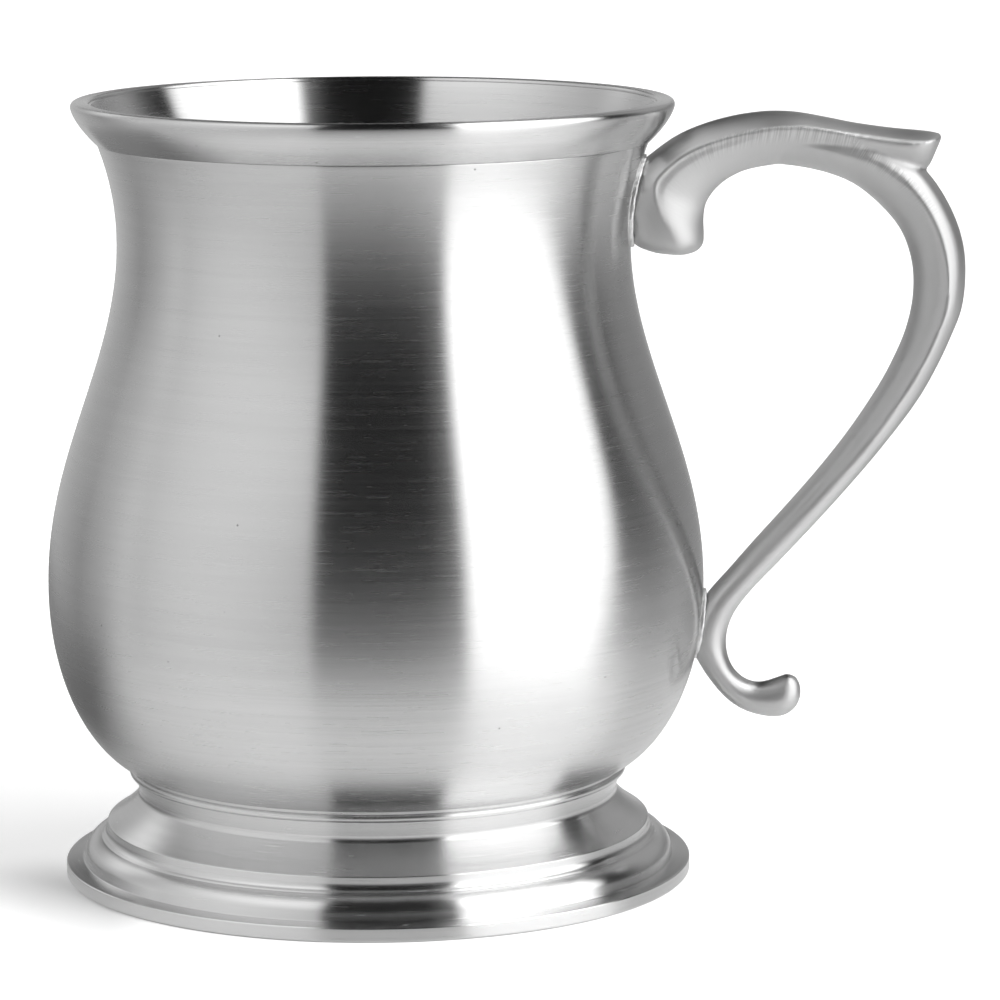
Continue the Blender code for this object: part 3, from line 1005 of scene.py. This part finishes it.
@dataclass
class CornerBead(TurnedPiece):
    """The burnished bead in the corner between the foot's collar and the curve of the floor."""

    name: str = "corner_bead"
    node: str = "foot_bead"
    slot: Slot = Slot.BEAD
    finish: str = "pewter_burnished_bead"
    stretch: float = math.inf
    swell: float = 0.14 * MM
    proud: float = 0.05 * MM
    span: Range = (-72.0, 62.0)
    sunk: float = 0.5 * MM
    hidden_top: tuple[float, float] = (0.22 * MM, 0.6 * MM)
    hidden_foot: float = 0.2 * MM

    def outline(self, vessel: Vessel) -> Outline:
        """The round side that shows, inside the node's box, and the back that the body and foot cover.

        Args:
            vessel: The wall that every piece seats on; not used.

        Returns:
            Points (radius, height), all round the ring.
        """
        low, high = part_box(self.node)
        radius = (high[2] - low[2]) / 2.0 + self.swell
        centre = ((high[1] - low[1]) / 2.0 - radius + self.proud, (high[2] + low[2]) / 2.0 + self.swell)
        side = arc(centre, (radius, radius), *self.span, 22)
        top, inner = side[-1][1] + self.hidden_top[1], centre[0] - radius - self.sunk
        return side + [(side[-1][0] + self.hidden_top[0], top), (inner, top), (inner, side[0][1] - self.hidden_foot)]


@dataclass(frozen=True)
class Profile:
    """How a section of the handle is shaped, in shares from 0 to 1.

    It goes from ridged to round, its crown from low to full, its flanks from full to hollow and from upright to
    tapered, and a groove runs under the ridges.
    """

    roundness: float
    crown: float
    pinch: float
    wedge: float
    groove: float


@dataclass
class ScrollHandle(Piece):
    """The cast handle: an arch with a thumb rest, and an arm that runs down to a curled tail with a knob.

    Each station has a point on the inner edge, a point on the outer edge, its width as a share of the handle's,
    and the depth of its side ridges below the crown as a share of its thickness. Points are millimetres out
    from the line between the two joints and up from the lower joint.
    """

    PLACE = "handle_place"
    SPINE_ARCH = slice(5, 14)
    SPINE_ARM = slice(4, None)

    name: str = "scroll_handle"
    node: str = "handle"
    slot: Slot = Slot.HANDLE
    lower_z: float = 36.0 * MM
    drop: float = 61.7 * MM
    width: float = 11.4 * MM
    crown_facets: int = 16
    underside_facets: int = 48
    steps: int = 6
    rest_pinch: float = 0.6
    pinch_shares: Range = (0.5, 0.75)
    round_shares: Range = (0.25, 0.53)
    voxel: float = 0.26 * MM
    smoothing: int = 6
    sunk: float = 0.12 * MM
    notch: tuple[float, float] = (36.3, 68.4)
    notch_reach: float = 7.5 * MM
    notch_squash: float = 1.25
    flank_core: float = 0.45
    flank_y: Range = (1.2 * MM, 2.6 * MM)
    flank_smoothing: int = 60
    flank_taper: float = 0.3
    arm_crown: float = 0.55
    groove_depth: float = 0.05
    bulb_shares: Range = (0.13, 0.27)
    groove_start: Range = (0.2, 0.28)
    groove_end: Range = (0.44, 0.54)
    groove_top: Range = (0.0, 0.05)
    groove_foot: Range = (0.06, 0.18)
    girth_r: float = 4.0 * MM
    crown_facing: Range = (0.55, 0.9)
    crease: float = math.radians(60.0)
    arch: tuple[Station, ...] = (
        ((6.3, 53.9), (1.8, 54.2), 0.36, 0.62),
        ((7.9, 54.4), (-0.4, 55.1), 0.68, 0.64),
        ((9.0, 55.4), (-1.6, 56.6), 0.86, 0.62),
        ((9.4, 56.9), (-1.7, 59.2), 0.94, 0.54),
        ((9.6, 58.6), (-1.2, 62.4), 0.97, 0.41),
        ((9.9, 60.0), (0.6, 66.0), 0.99, 0.29),
        ((10.4, 61.3), (3.9, 68.6), 1.0, 0.25),
        ((11.35, 62.6), (7.7, 71.0), 1.0, 0.26),
        ((12.65, 63.85), (11.6, 72.6), 1.0, 0.28),
        ((14.4, 65.0), (15.6, 73.7), 1.0, 0.30),
        ((16.7, 66.0), (19.2, 74.3), 1.0, 0.29),
        ((19.7, 66.6), (22.2, 74.5), 1.0, 0.26),
        ((23.2, 67.0), (25.6, 74.3), 1.0, 0.24),
        ((27.2, 66.95), (29.6, 73.55), 1.0, 0.22),
        ((31.2, 66.4), (33.2, 72.8), 1.01, 0.22),
        ((35.2, 65.6), (36.7, 72.25), 1.02, 0.22),
        ((38.7, 65.0), (39.6, 71.9), 1.03, 0.22),
        ((41.2, 65.1), (41.8, 71.7), 1.0, 0.22),
        ((43.1, 66.5), (43.7, 71.5), 0.86, 0.22),
        ((44.3, 68.4), (44.8, 71.3), 0.62, 0.22),
        ((45.4, 70.3), (45.5, 71.1), 0.28, 0.22),
    )
    arm: tuple[Station, ...] = (
        ((17.4, 67.4), (19.6, 72.0), 0.60, 0.40),
        ((21.4, 66.9), (23.0, 72.2), 0.68, 0.40),
        ((25.4, 66.35), (27.2, 72.0), 0.78, 0.40),
        ((29.0, 65.4), (31.9, 71.1), 0.90, 0.40),
        ((32.3, 63.8), (37.1, 70.1), 0.98, 0.40),
        ((35.5, 60.75), (42.2, 66.4), 1.0, 0.40),
        ((37.8, 57.1), (45.3, 60.7), 1.0, 0.40),
        ((38.6, 52.6), (46.39, 54.3), 0.98, 0.40),
        ((38.0, 47.8), (45.1, 47.0), 0.95, 0.36),
        ((36.3, 43.1), (42.4, 41.6), 0.91, 0.36),
        ((33.8, 38.7), (39.0, 36.2), 0.87, 0.36),
        ((30.9, 34.5), (35.5, 31.6), 0.83, 0.36),
        ((26.0, 28.5), (29.8, 25.4), 0.77, 0.24),
        ((20.7, 22.8), (24.0, 19.6), 0.72, 0.24),
        ((15.2, 17.4), (18.2, 14.1), 0.68, 0.24),
        ((9.6, 12.1), (12.4, 8.8), 0.64, 0.24),
        ((5.6, 8.2), (8.6, 5.4), 0.62, 0.24),
        ((1.5, 4.2), (5.6, 2.2), 0.60, 0.24),
        ((-1.1, 0.5), (4.0, -0.4), 0.58, 0.24),
        ((-2.2, -2.7), (3.3, -2.8), 0.57, 0.24),
        ((-1.3, -5.4), (3.3, -5.0), 0.55, 0.24),
        ((-0.1, -8.0), (3.9, -6.8), 0.53, 0.24),
        ((1.6, -10.6), (5.1, -8.1), 0.51, 0.24),
        ((3.6, -12.4), (6.6, -8.7), 0.51, 0.24),
        ((5.9, -13.4), (8.2, -8.6), 0.53, 0.24),
        ((8.4, -13.8), (10.1, -8.0), 0.55, 0.24),
        ((10.3, -13.5), (11.5, -7.6), 0.52, 0.24),
        ((11.9, -12.4), (12.7, -8.1), 0.38, 0.24),
        ((12.8, -11.0), (13.1, -9.5), 0.15, 0.24),
    )

    def placed(self, vessel: Vessel, point: tuple[float, float]) -> Vector:
        """A drawn point as a place in the plane of the handle's spine.

        Args:
            vessel: The wall that it is drawn from.
            point: Millimetres out and up, as in a station.

        Returns:
            The place in metres.
        """
        out, up = point
        share = up * MM / self.drop
        line = lerp(vessel.wall_radius(self.lower_z), vessel.wall_radius(self.lower_z + self.drop), share)
        return Vector((vessel.axis_x + line + out * MM, 0.0, self.lower_z + up * MM))

    def profile(self, share: float, arch: bool) -> Profile:
        """The section's profile at a share of the arch's or the arm's length.

        Args:
            share: Share of the length, from its first station.
            arch: Whether it is the arch, and not the arm.

        Returns:
            The profile there.
        """
        if not arch:
            roundness = smoothstep(*self.round_shares, share)
            taper = self.flank_taper * (1.0 - roundness)
            return Profile(roundness, max(roundness, self.arm_crown), 0.0, taper, 0.0)
        pinch = self.rest_pinch * smoothstep(*self.pinch_shares, share)
        bulb = 1.0 - smoothstep(*self.bulb_shares, share)
        groove = smoothstep(*self.groove_start, share) * (1.0 - smoothstep(*self.groove_end, share))
        taper = self.flank_taper * (1.0 - 0.5 * bulb)
        return Profile(0.0, bulb, pinch, taper, self.groove_depth * groove)

    def section(
        self, inner: Vector, outer: Vector, width: float, ridge: float, profile: Profile
    ) -> list[Vector]:
        """One ring of the handle: a low crown over two side ridges, and a deeper rounded underside.

        Args:
            inner: Point on the inner edge.
            outer: Point on the outer edge.
            width: Width over the ridges.
            ridge: Depth of the ridges below the crown, as a share of the thickness.
            profile: How the section is rounded, hollowed and tapered here.

        Returns:
            The ring's points, from one ridge over the crown to the other and back underneath.
        """
        thickness = (outer - inner).length
        up = (outer - inner).normalized()
        depth = thickness * lerp(ridge, 0.5, profile.roundness)
        middle = outer - up * depth
        ring = []
        for i in range(self.crown_facets):
            side = lerp(-1.0, 1.0, i / self.crown_facets)
            angle = math.pi * (1.0 - i / self.crown_facets)
            crown = lerp(1.0 - side * side, math.sin(angle), profile.crown)
            across = lerp(side, math.cos(angle), profile.crown)
            ring.append(middle + up * depth * crown + Vector((0.0, across * width / 2.0, 0.0)))
        for i in range(self.underside_facets):
            angle = math.pi * i / self.underside_facets
            out, down = math.cos(angle), math.sin(angle)
            across = out * abs(out) ** profile.pinch * (1.0 - profile.wedge * down)
            groove = smoothstep(*self.groove_top, down) * (1.0 - smoothstep(*self.groove_foot, down))
            across *= 1.0 - profile.groove * groove
            below = (thickness - depth) * down
            ring.append(middle - up * below + Vector((0.0, across * width / 2.0, 0.0)))
        return ring

    def edges(self, vessel: Vessel, stations: Sequence[Station]) -> list[list[Vector]]:
        """The inner and the outer edge as smooth curves through their stations."""
        return [through([self.placed(vessel, station[side]) for station in stations], self.steps) for side in (0, 1)]

    def bar(self, vessel: Vessel, name: str, stations: Sequence[Station]) -> bpy.types.Object:
        """Lofts one bar of the handle over its stations.

        Args:
            vessel: The wall that it is drawn from.
            name: Name of the bar.
            stations: The arch's or the arm's.

        Returns:
            The closed bar.
        """
        inner, outer = self.edges(vessel, stations)
        shares = through([Vector(station[2:]) for station in stations], self.steps)
        rings = []
        for i, (low, high, (width, ridge)) in enumerate(zip(inner, outer, shares)):
            profile = self.profile(i / len(inner), stations is self.arch)
            rings.append(self.section(low, high, width * self.width, ridge, profile))
        return Bench.loft(name, rings)

    def spine(self, vessel: Vessel) -> list[tuple[Vector, Vector]]:
        """Middle points of the whole handle with the direction from the inner to the outer edge.

        Args:
            vessel: The wall that it is drawn from.

        Returns:
            The points in order, from the upper root to the knob.
        """
        line = []
        for stations in (self.arch[self.SPINE_ARCH], self.arm[self.SPINE_ARM]):
            edges = zip(*self.edges(vessel, stations))
            line += [((low + high) / 2.0, (high - low).normalized()) for low, high in edges]
        return line

    def soften(self, vessel: Vessel, shape: bpy.types.Object) -> None:
        """Blends the arm's flanks into the arch below the thumb rest, as a caster's file does.

        Args:
            vessel: The wall that the notch is drawn from.
            shape: The handle in one skin.
        """
        middle = self.placed(vessel, self.notch)
        flanks = shape.vertex_groups.new(name="flanks")
        for vert in shape.data.vertices:
            reach = math.hypot(vert.co.x - middle.x, self.notch_squash * (vert.co.z - middle.z))
            weight = 1.0 - smoothstep(self.flank_core, 1.0, reach / self.notch_reach)
            weight *= smoothstep(*self.flank_y, abs(vert.co.y))
            if weight > 0.0:
                flanks.add([vert.index], weight, "REPLACE")
        Bench.apply(shape, "SMOOTH", factor=0.5, iterations=self.flank_smoothing, vertex_group="flanks")

    def write_places(self, vessel: Vessel, shape: bpy.types.Object) -> None:
        """Writes each point's place along and across the handle, and how near the crown it faces.

        Args:
            vessel: The wall that the spine is drawn from.
            shape: The finished handle.
        """
        line = self.spine(vessel)
        lengths = [0.0]
        for (here, _), (there, _) in zip(line, line[1:]):
            lengths.append(lengths[-1] + (there - here).length)
        tree = kdtree.KDTree(len(line))
        for i, (point, _) in enumerate(line):
            tree.insert(point, i)
        tree.balance()
        attribute = shape.data.attributes.new(self.PLACE, "FLOAT_VECTOR", "POINT")
        for vert, value in zip(shape.data.vertices, attribute.data):
            _, i, _ = tree.find(Vector((vert.co.x, 0.0, vert.co.z)))
            point, up = line[i]
            forward = Vector((up.z, 0.0, -up.x))
            off = vert.co - point
            around = math.atan2(abs(off.y), off.dot(up)) * self.girth_r
            facing = smoothstep(*self.crown_facing, vert.normal.dot(up))
            value.vector = (lengths[i] + off.dot(forward), around if vert.co.y < 0 else -around, facing)

    def build(self, vessel: Vessel) -> bpy.types.Object:
        """Lofts, melts, smooths, cuts and dresses the handle.

        Args:
            vessel: The wall that every piece seats on.

        Returns:
            The finished piece.
        """
        shape = self.bar(vessel, self.name, self.arm)
        Bench.pick(shape, self.bar(vessel, "arch_bar", self.arch))
        bpy.ops.object.join()
        Bench.smooth_skin(shape, self.voxel, self.smoothing)
        self.soften(vessel, shape)
        Bench.carve(shape, vessel.solid("wall_guide", -self.sunk), Cut.CUT_AWAY)
        Bench.pick(shape)
        bpy.ops.object.shade_smooth_by_angle(angle=self.crease)
        self.write_places(vessel, shape)
        return self.register(shape, CastFinish("pewter_cast_handle").material())


@dataclass
class SolderSeam(Piece):
    """A frozen run of solder between the wall and one root of the handle."""

    name: str = "upper_solder_seam"
    node: str = "upper_solder"
    slot: Slot = Slot.SOLDER
    depth: float = 0.5 * MM
    sunk: float = 0.15 * MM
    lump: float = 0.1 * MM
    lumps: Range = (900.0, 2100.0)
    blank_depth: float = 8.0 * MM
    voxel: float = 0.16 * MM
    smoothing: int = 3

    def build(self, vessel: Vessel) -> bpy.types.Object:
        """Cuts an oval from a shell round the wall, softens it and makes it lumpy.

        Args:
            vessel: The wall that every piece seats on.

        Returns:
            The finished piece.
        """
        low, high = (Vector(corner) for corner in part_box(self.node))
        middle = (low + high) / 2.0
        size = high - low
        Bench.clear_selection()
        lying = {"depth": self.blank_depth, "rotation": (0.0, math.pi / 2.0, 0.0)}
        bpy.ops.mesh.primitive_cylinder_add(vertices=96, radius=0.5, **lying)
        shape = Bench.named(self.name)
        shape.scale = (size.z, size.y, 1.0)
        shape.location = middle
        bpy.ops.object.transform_apply(location=True, rotation=True, scale=True)
        Bench.carve(shape, vessel.solid("inner_guide", -self.sunk), Cut.CUT_AWAY)
        Bench.carve(shape, vessel.solid("outer_guide", self.depth), Cut.KEEP_INSIDE)
        Bench.smooth_skin(shape, self.voxel, self.smoothing)
        Bench.pick(shape)
        bpy.ops.object.mode_set(mode="EDIT")
        bm = bmesh.from_edit_mesh(shape.data)
        for vert in bm.verts:
            coarse, fine = (noise.noise(vert.co * scale) for scale in self.lumps)
            vert.co += vert.normal * self.lump * (coarse + 0.5 * fine)
        bmesh.update_edit_mesh(shape.data)
        bpy.ops.object.mode_set(mode="OBJECT")
        return self.register(shape, SolderFinish(self.name + "_metal").material())


@dataclass
class Studio:
    """White table, tall soft panels to the left and right of a dark gap, and the camera.

    Windows on the table count metres from the turned axis, along x and y or as the reach. In the surroundings they
    count shares of the direction that a reflection looks in: its parts x, y and z and its size off the middle, how
    upright and how steep it leans to one side, how far it turns to the right, left or back, and how far it rises
    over the plane that ends the right panel. A strength of 1 is the white ground.
    """

    axis_x: float
    table_half_width: float = 2.5
    table_front: float = 0.5
    table_back: float = 3.0
    paper_tone: float = 0.8
    paper_lift: float = 0.46
    paper_glow: float = 0.2
    paper_gloss: float = 2.5
    gloss_roughness: float = 0.3
    # Painted contact shadow: near the foot's left the camera's white lift is taken down, standing in for the foot's
    # shadow on the table.
    painted_shadow_reach: Range = (0.045, 0.062)
    painted_shadow_depth: Range = (0.8, 0.0)
    painted_contact_shadow: Windows = (("x", (-0.028, -0.038)), ("y", (0.01, -0.012)))
    # Painted shadow on the table as the metal sees it: at the back left, glossy rays meet a dim glow in place of the
    # lit paper.
    painted_shadow_glow: float = 0.07
    painted_shadow: Windows = (("x", (-0.04, -0.075), (0.0, 0.86)), ("y", (-0.03, 0.03)))
    held: Windows = (("reach", (0.42, 0.3)), ("x", (-0.22, -0.16)))
    gone: Windows = (("reach", (0.1, 0.17)),)

    flattest: float = 0.25
    shallowest: float = 0.05
    depth_from: float = 0.98
    lean_from: float = 0.161
    right_azimuth: float = 63.0
    right_plane: Triple = (0.012, -0.704, 0.355)
    right_span: Range = (0.82, 1.0)
    right_strength: Range = (1.76, 2.2)
    right_edge: Windows = (("upright", (0.262, 0.33)),)
    right_halo: Windows = (("upright", (0.17, 0.25), (0.0, 0.045)),)
    right_end: Windows = (("over", (-0.05, 0.05)),)
    left_azimuth: float = -60.0
    left_spans: tuple[Range, Range] = ((0.42, 1.0), (-0.35, 1.0))
    left_strength: Range = (0.0, 0.92)
    left_edge: Windows = (("upright", (-0.16, -0.205)),)
    left_rise: Windows = (("z", (0.05, 0.32)),)
    overhead: Windows = (("z", (0.55, 0.8), (1.0, 1.5)),)
    wall_least: float = 0.18
    wall_swell: Windows = (("back", (0.3, 0.95), (0.0, 0.34)),)
    wall: Windows = (("y", (-0.05, 0.15)), ("z", (0.36, 0.14)), ("x", (0.0, 0.35), (1.0, 0.5)))
    wall_gap: Windows = (("off", (0.4, 0.15), (0.0, 0.9)), ("z", (0.19, 0.3)))
    upper_left: Windows = (("lean", (-0.4, -0.52), (0.0, 0.8)), ("z", (0.16, 0.5)))
    upper_right: Windows = (("lean", (0.05, 0.4), (0.0, 0.42)), ("z", (0.08, 0.35)))
    upper: Windows = (("y", (0.4, 0.75)),)
    ceiling: Windows = (("z", (0.3, 0.7), (0.0, 0.01)),)
    side: Windows = (("x", (0.5, 0.8), (0.0, 0.28)), ("y", (-0.35, -0.05)), ("z", (0.0, -0.25)))
    below: Windows = (("x", (0.05, 0.5), (0.72, 1.15)), ("x", (-0.35, -0.7), (1.0, 0.85)))
    below_back: Windows = (("y", (0.1, 0.5)),)
    below_right: Windows = (("x", (0.0, 0.4), (1.0, 0.65)),)
    horizon: Range = (0.06, -0.94)

    lamp_place: Triple = (0.85, -0.75, 0.95)
    lamp_size: float = 0.6
    lamp_watts: float = 8.5
    camera_place: Triple = (-0.0007, -0.69951, 0.16864)
    camera_down: float = math.radians(9.288)
    camera_roll: float = math.radians(-0.205)
    lens: float = 176.23
    sensor: float = 36.0

    def paper(self) -> bpy.types.Material:
        """Paper that the camera sees white, with a painted contact shadow at the foot's left.

        Returns:
            The material. In the metal the paper is lit near the foot and carries a painted shadow at the back left,
            and far off only the surroundings show in its place.
        """
        made = bpy.data.materials.new("white_paper")
        graph = Graph.of(made)
        graph.tree.nodes.remove(graph.tree.nodes["Principled BSDF"])
        ray = graph.node("LightPath").outputs
        glossy = ray["Is Glossy Ray"]
        place = graph.centred(self.axis_x)
        ways = dict(zip("xyz", graph.parts(place)))
        ways["reach"] = graph.node("VectorMath", {0: place}, operation="LENGTH").outputs["Value"]
        # Painted contact shadow: the white lift is cut down near the foot's left front.
        painted_contact_shadow = graph.ramp(ways["reach"], self.painted_shadow_reach, self.painted_shadow_depth)
        painted_contact_shadow = graph.times(painted_contact_shadow, graph.windows(ways, self.painted_contact_shadow))
        lift = graph.times(ray["Is Camera Ray"], self.paper_lift, graph.less(painted_contact_shadow))
        glow = graph.node("Emission", {"Strength": graph.plus(lift, graph.times(glossy, self.paper_glow))})
        matt = graph.node("BsdfDiffuse", {"Color": (self.paper_tone,) * 3 + (1.0,)})
        lit = graph.node("AddShader", {0: matt.outputs[0], 1: glow.outputs[0]})
        gloss = graph.node("BsdfAnisotropic", {"Roughness": self.gloss_roughness})
        coat = graph.node("Fresnel", {"IOR": self.paper_gloss}).outputs[0]
        sheet = graph.blend(graph.times(coat, glossy), lit, gloss)
        # Painted shadow: glossy rays at the back left see a dim glow, held on past the paper's usual reach.
        painted_shadow = graph.windows(ways, self.painted_shadow)
        dim = graph.node("Emission", {"Strength": self.painted_shadow_glow})
        sheet = graph.blend(graph.times(painted_shadow, glossy), sheet, dim)
        held = graph.times(painted_shadow, graph.windows(ways, self.held))
        away = graph.times(graph.windows(ways, self.gone), graph.less(held), glossy)
        shown = graph.blend(away, sheet, graph.node("BsdfTransparent"))
        graph.feed(graph.tree.nodes["Material Output"], {"Surface": shown.outputs[0]})
        return made

    def floor(self) -> bpy.types.Object:
        """The table under the foot, kept out of the exported model."""
        Bench.clear_selection()
        bpy.ops.mesh.primitive_plane_add(size=2.0)
        made = Bench.named("white_table")
        bpy.ops.object.mode_set(mode="EDIT")
        bm = bmesh.from_edit_mesh(made.data)
        for vert in bm.verts:
            vert.co.x *= self.table_half_width
            vert.co.y = self.table_back if vert.co.y > 0.0 else -self.table_front
        bmesh.update_edit_mesh(made.data)
        bpy.ops.object.mode_set(mode="OBJECT")
        made.data.materials.append(self.paper())
        return made

    def ways(self, graph: Graph) -> dict[str, Socket]:
        """All that the windows of the surroundings count along, by name.

        Args:
            graph: The world's shader tree.

        Returns:
            The sockets.
        """
        whole = graph.node("TexCoord").outputs["Generated"]
        ways = dict(zip("xyz", graph.parts(whole)))
        x, y, z = ways.values()

        def along(*normal: float) -> Socket:
            """How far the direction leans to a normal."""
            inputs = {0: whole, 1: Vector(normal).normalized()}
            return graph.node("VectorMath", inputs, operation="DOT_PRODUCT").outputs["Value"]

        def share(value: Socket, total: Socket, least: float) -> Socket:
            """A value over a total that is held above a least."""
            return graph.math("DIVIDE", value, graph.math("MAXIMUM", total, least))

        level = graph.math("SQRT", graph.plus(graph.times(x, x), graph.times(y, y)))
        for name, azimuth in (("right", self.right_azimuth), ("left", self.left_azimuth), ("back", HALF_CIRCLE)):
            turn = math.radians(azimuth)
            ways[name] = share(along(math.sin(turn), -math.cos(turn), 0.0), level, self.flattest)
        ways["off"] = graph.math("ABSOLUTE", x)
        ways["over"] = along(*self.right_plane)
        ways["upright"] = share(x, graph.math("SUBTRACT", self.depth_from, y), self.shallowest)
        ways["lean"] = share(x, graph.plus(z, self.lean_from), self.shallowest)
        return ways

    def surroundings(self) -> None:
        """The room as the metal sees it, between two tall soft panels. The camera sees plain white."""
        world = bpy.data.worlds.new("studio")
        bpy.context.scene.world = world
        graph = Graph.of(world)
        ways = self.ways(graph)
        seen = partial(graph.windows, ways)
        right = graph.times(graph.plus(seen(self.right_edge), seen(self.right_halo)), seen(self.right_end),
                            graph.ramp(ways["right"], self.right_span, self.right_strength))
        left = (graph.ramp(ways["left"], span, self.left_strength) for span in self.left_spans)
        left = graph.times(seen(self.left_edge), graph.between(seen(self.left_rise), *left))
        wall = graph.times(graph.plus(seen(self.wall_swell), self.wall_least), seen(self.wall))
        wall = graph.times(wall, graph.less(seen(self.wall_gap)))
        upper = graph.times(graph.plus(seen(self.upper_left), seen(self.upper_right)), seen(self.upper))
        room = graph.plus(graph.times(graph.plus(right, left), seen(self.overhead)), wall, upper, seen(self.ceiling))
        below = graph.between(seen(self.below_back), 1.0, seen(self.below_right))
        below = graph.times(seen(self.below), below)
        total = graph.plus(graph.between(graph.ramp(ways["z"], self.horizon), room, below), seen(self.side))
        shown = graph.between(graph.node("LightPath").outputs["Is Camera Ray"], total, 1.0)
        graph.feed(graph.tree.nodes["Background"], {"Color": (1.0,) * 4, "Strength": shown})

    def camera(self) -> None:
        """The camera at the photograph's viewing angle."""
        data = bpy.data.cameras.new("camera")
        data.lens = self.lens
        data.sensor_width = self.sensor
        made = bpy.data.objects.new("camera", data)
        bpy.context.scene.collection.objects.link(made)
        turn = Matrix.Rotation(math.pi / 2.0 - self.camera_down, 4, "X")
        made.matrix_world = Matrix.Translation(self.camera_place) @ turn @ Matrix.Rotation(self.camera_roll, 4, "Z")
        bpy.context.scene.camera = made

    def lamp(self) -> None:
        """A soft lamp on the right that lays the shadow on the table to the left."""
        Bench.clear_selection()
        bpy.ops.object.light_add(type="AREA", location=self.lamp_place)
        made = bpy.context.object
        made.name = "shadow_lamp"
        made.data.energy = self.lamp_watts
        made.data.size = self.lamp_size
        made.rotation_euler = (-made.location).to_track_quat("-Z", "Y").to_euler()
        made.visible_glossy = False

    def build(self) -> None:
        """Sets up floor, lamp, surroundings and camera."""
        self.floor()
        self.lamp()
        self.surroundings()
        self.camera()
        bpy.context.scene.view_settings.view_transform = "Standard"


@dataclass
class Tankard:
    """The whole tankard, piece by piece."""

    vessel: Vessel

    def build(self) -> list[bpy.types.Object]:
        """Builds the pieces from the body outwards.

        Returns:
            The seven pieces.
        """
        lower = SolderSeam(name="lower_solder_seam", node="lower_solder")
        pieces = (BodyShell(), LipRing(), MouldedFoot(), CornerBead(), ScrollHandle(), SolderSeam(), lower)
        return [piece.build(self.vessel) for piece in pieces]


def main() -> None:
    """Loads the frame, builds the tankard and its studio, and logs how many pieces there are."""
    logging.basicConfig(level=logging.INFO, format="%(name)s: %(message)s")
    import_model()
    vessel = Vessel.from_frame()
    pieces = Tankard(vessel).build()
    Studio(vessel.axis_x).build()
    LOG.info("%d pieces", len(pieces))


if __name__ == "__main__":
    main()
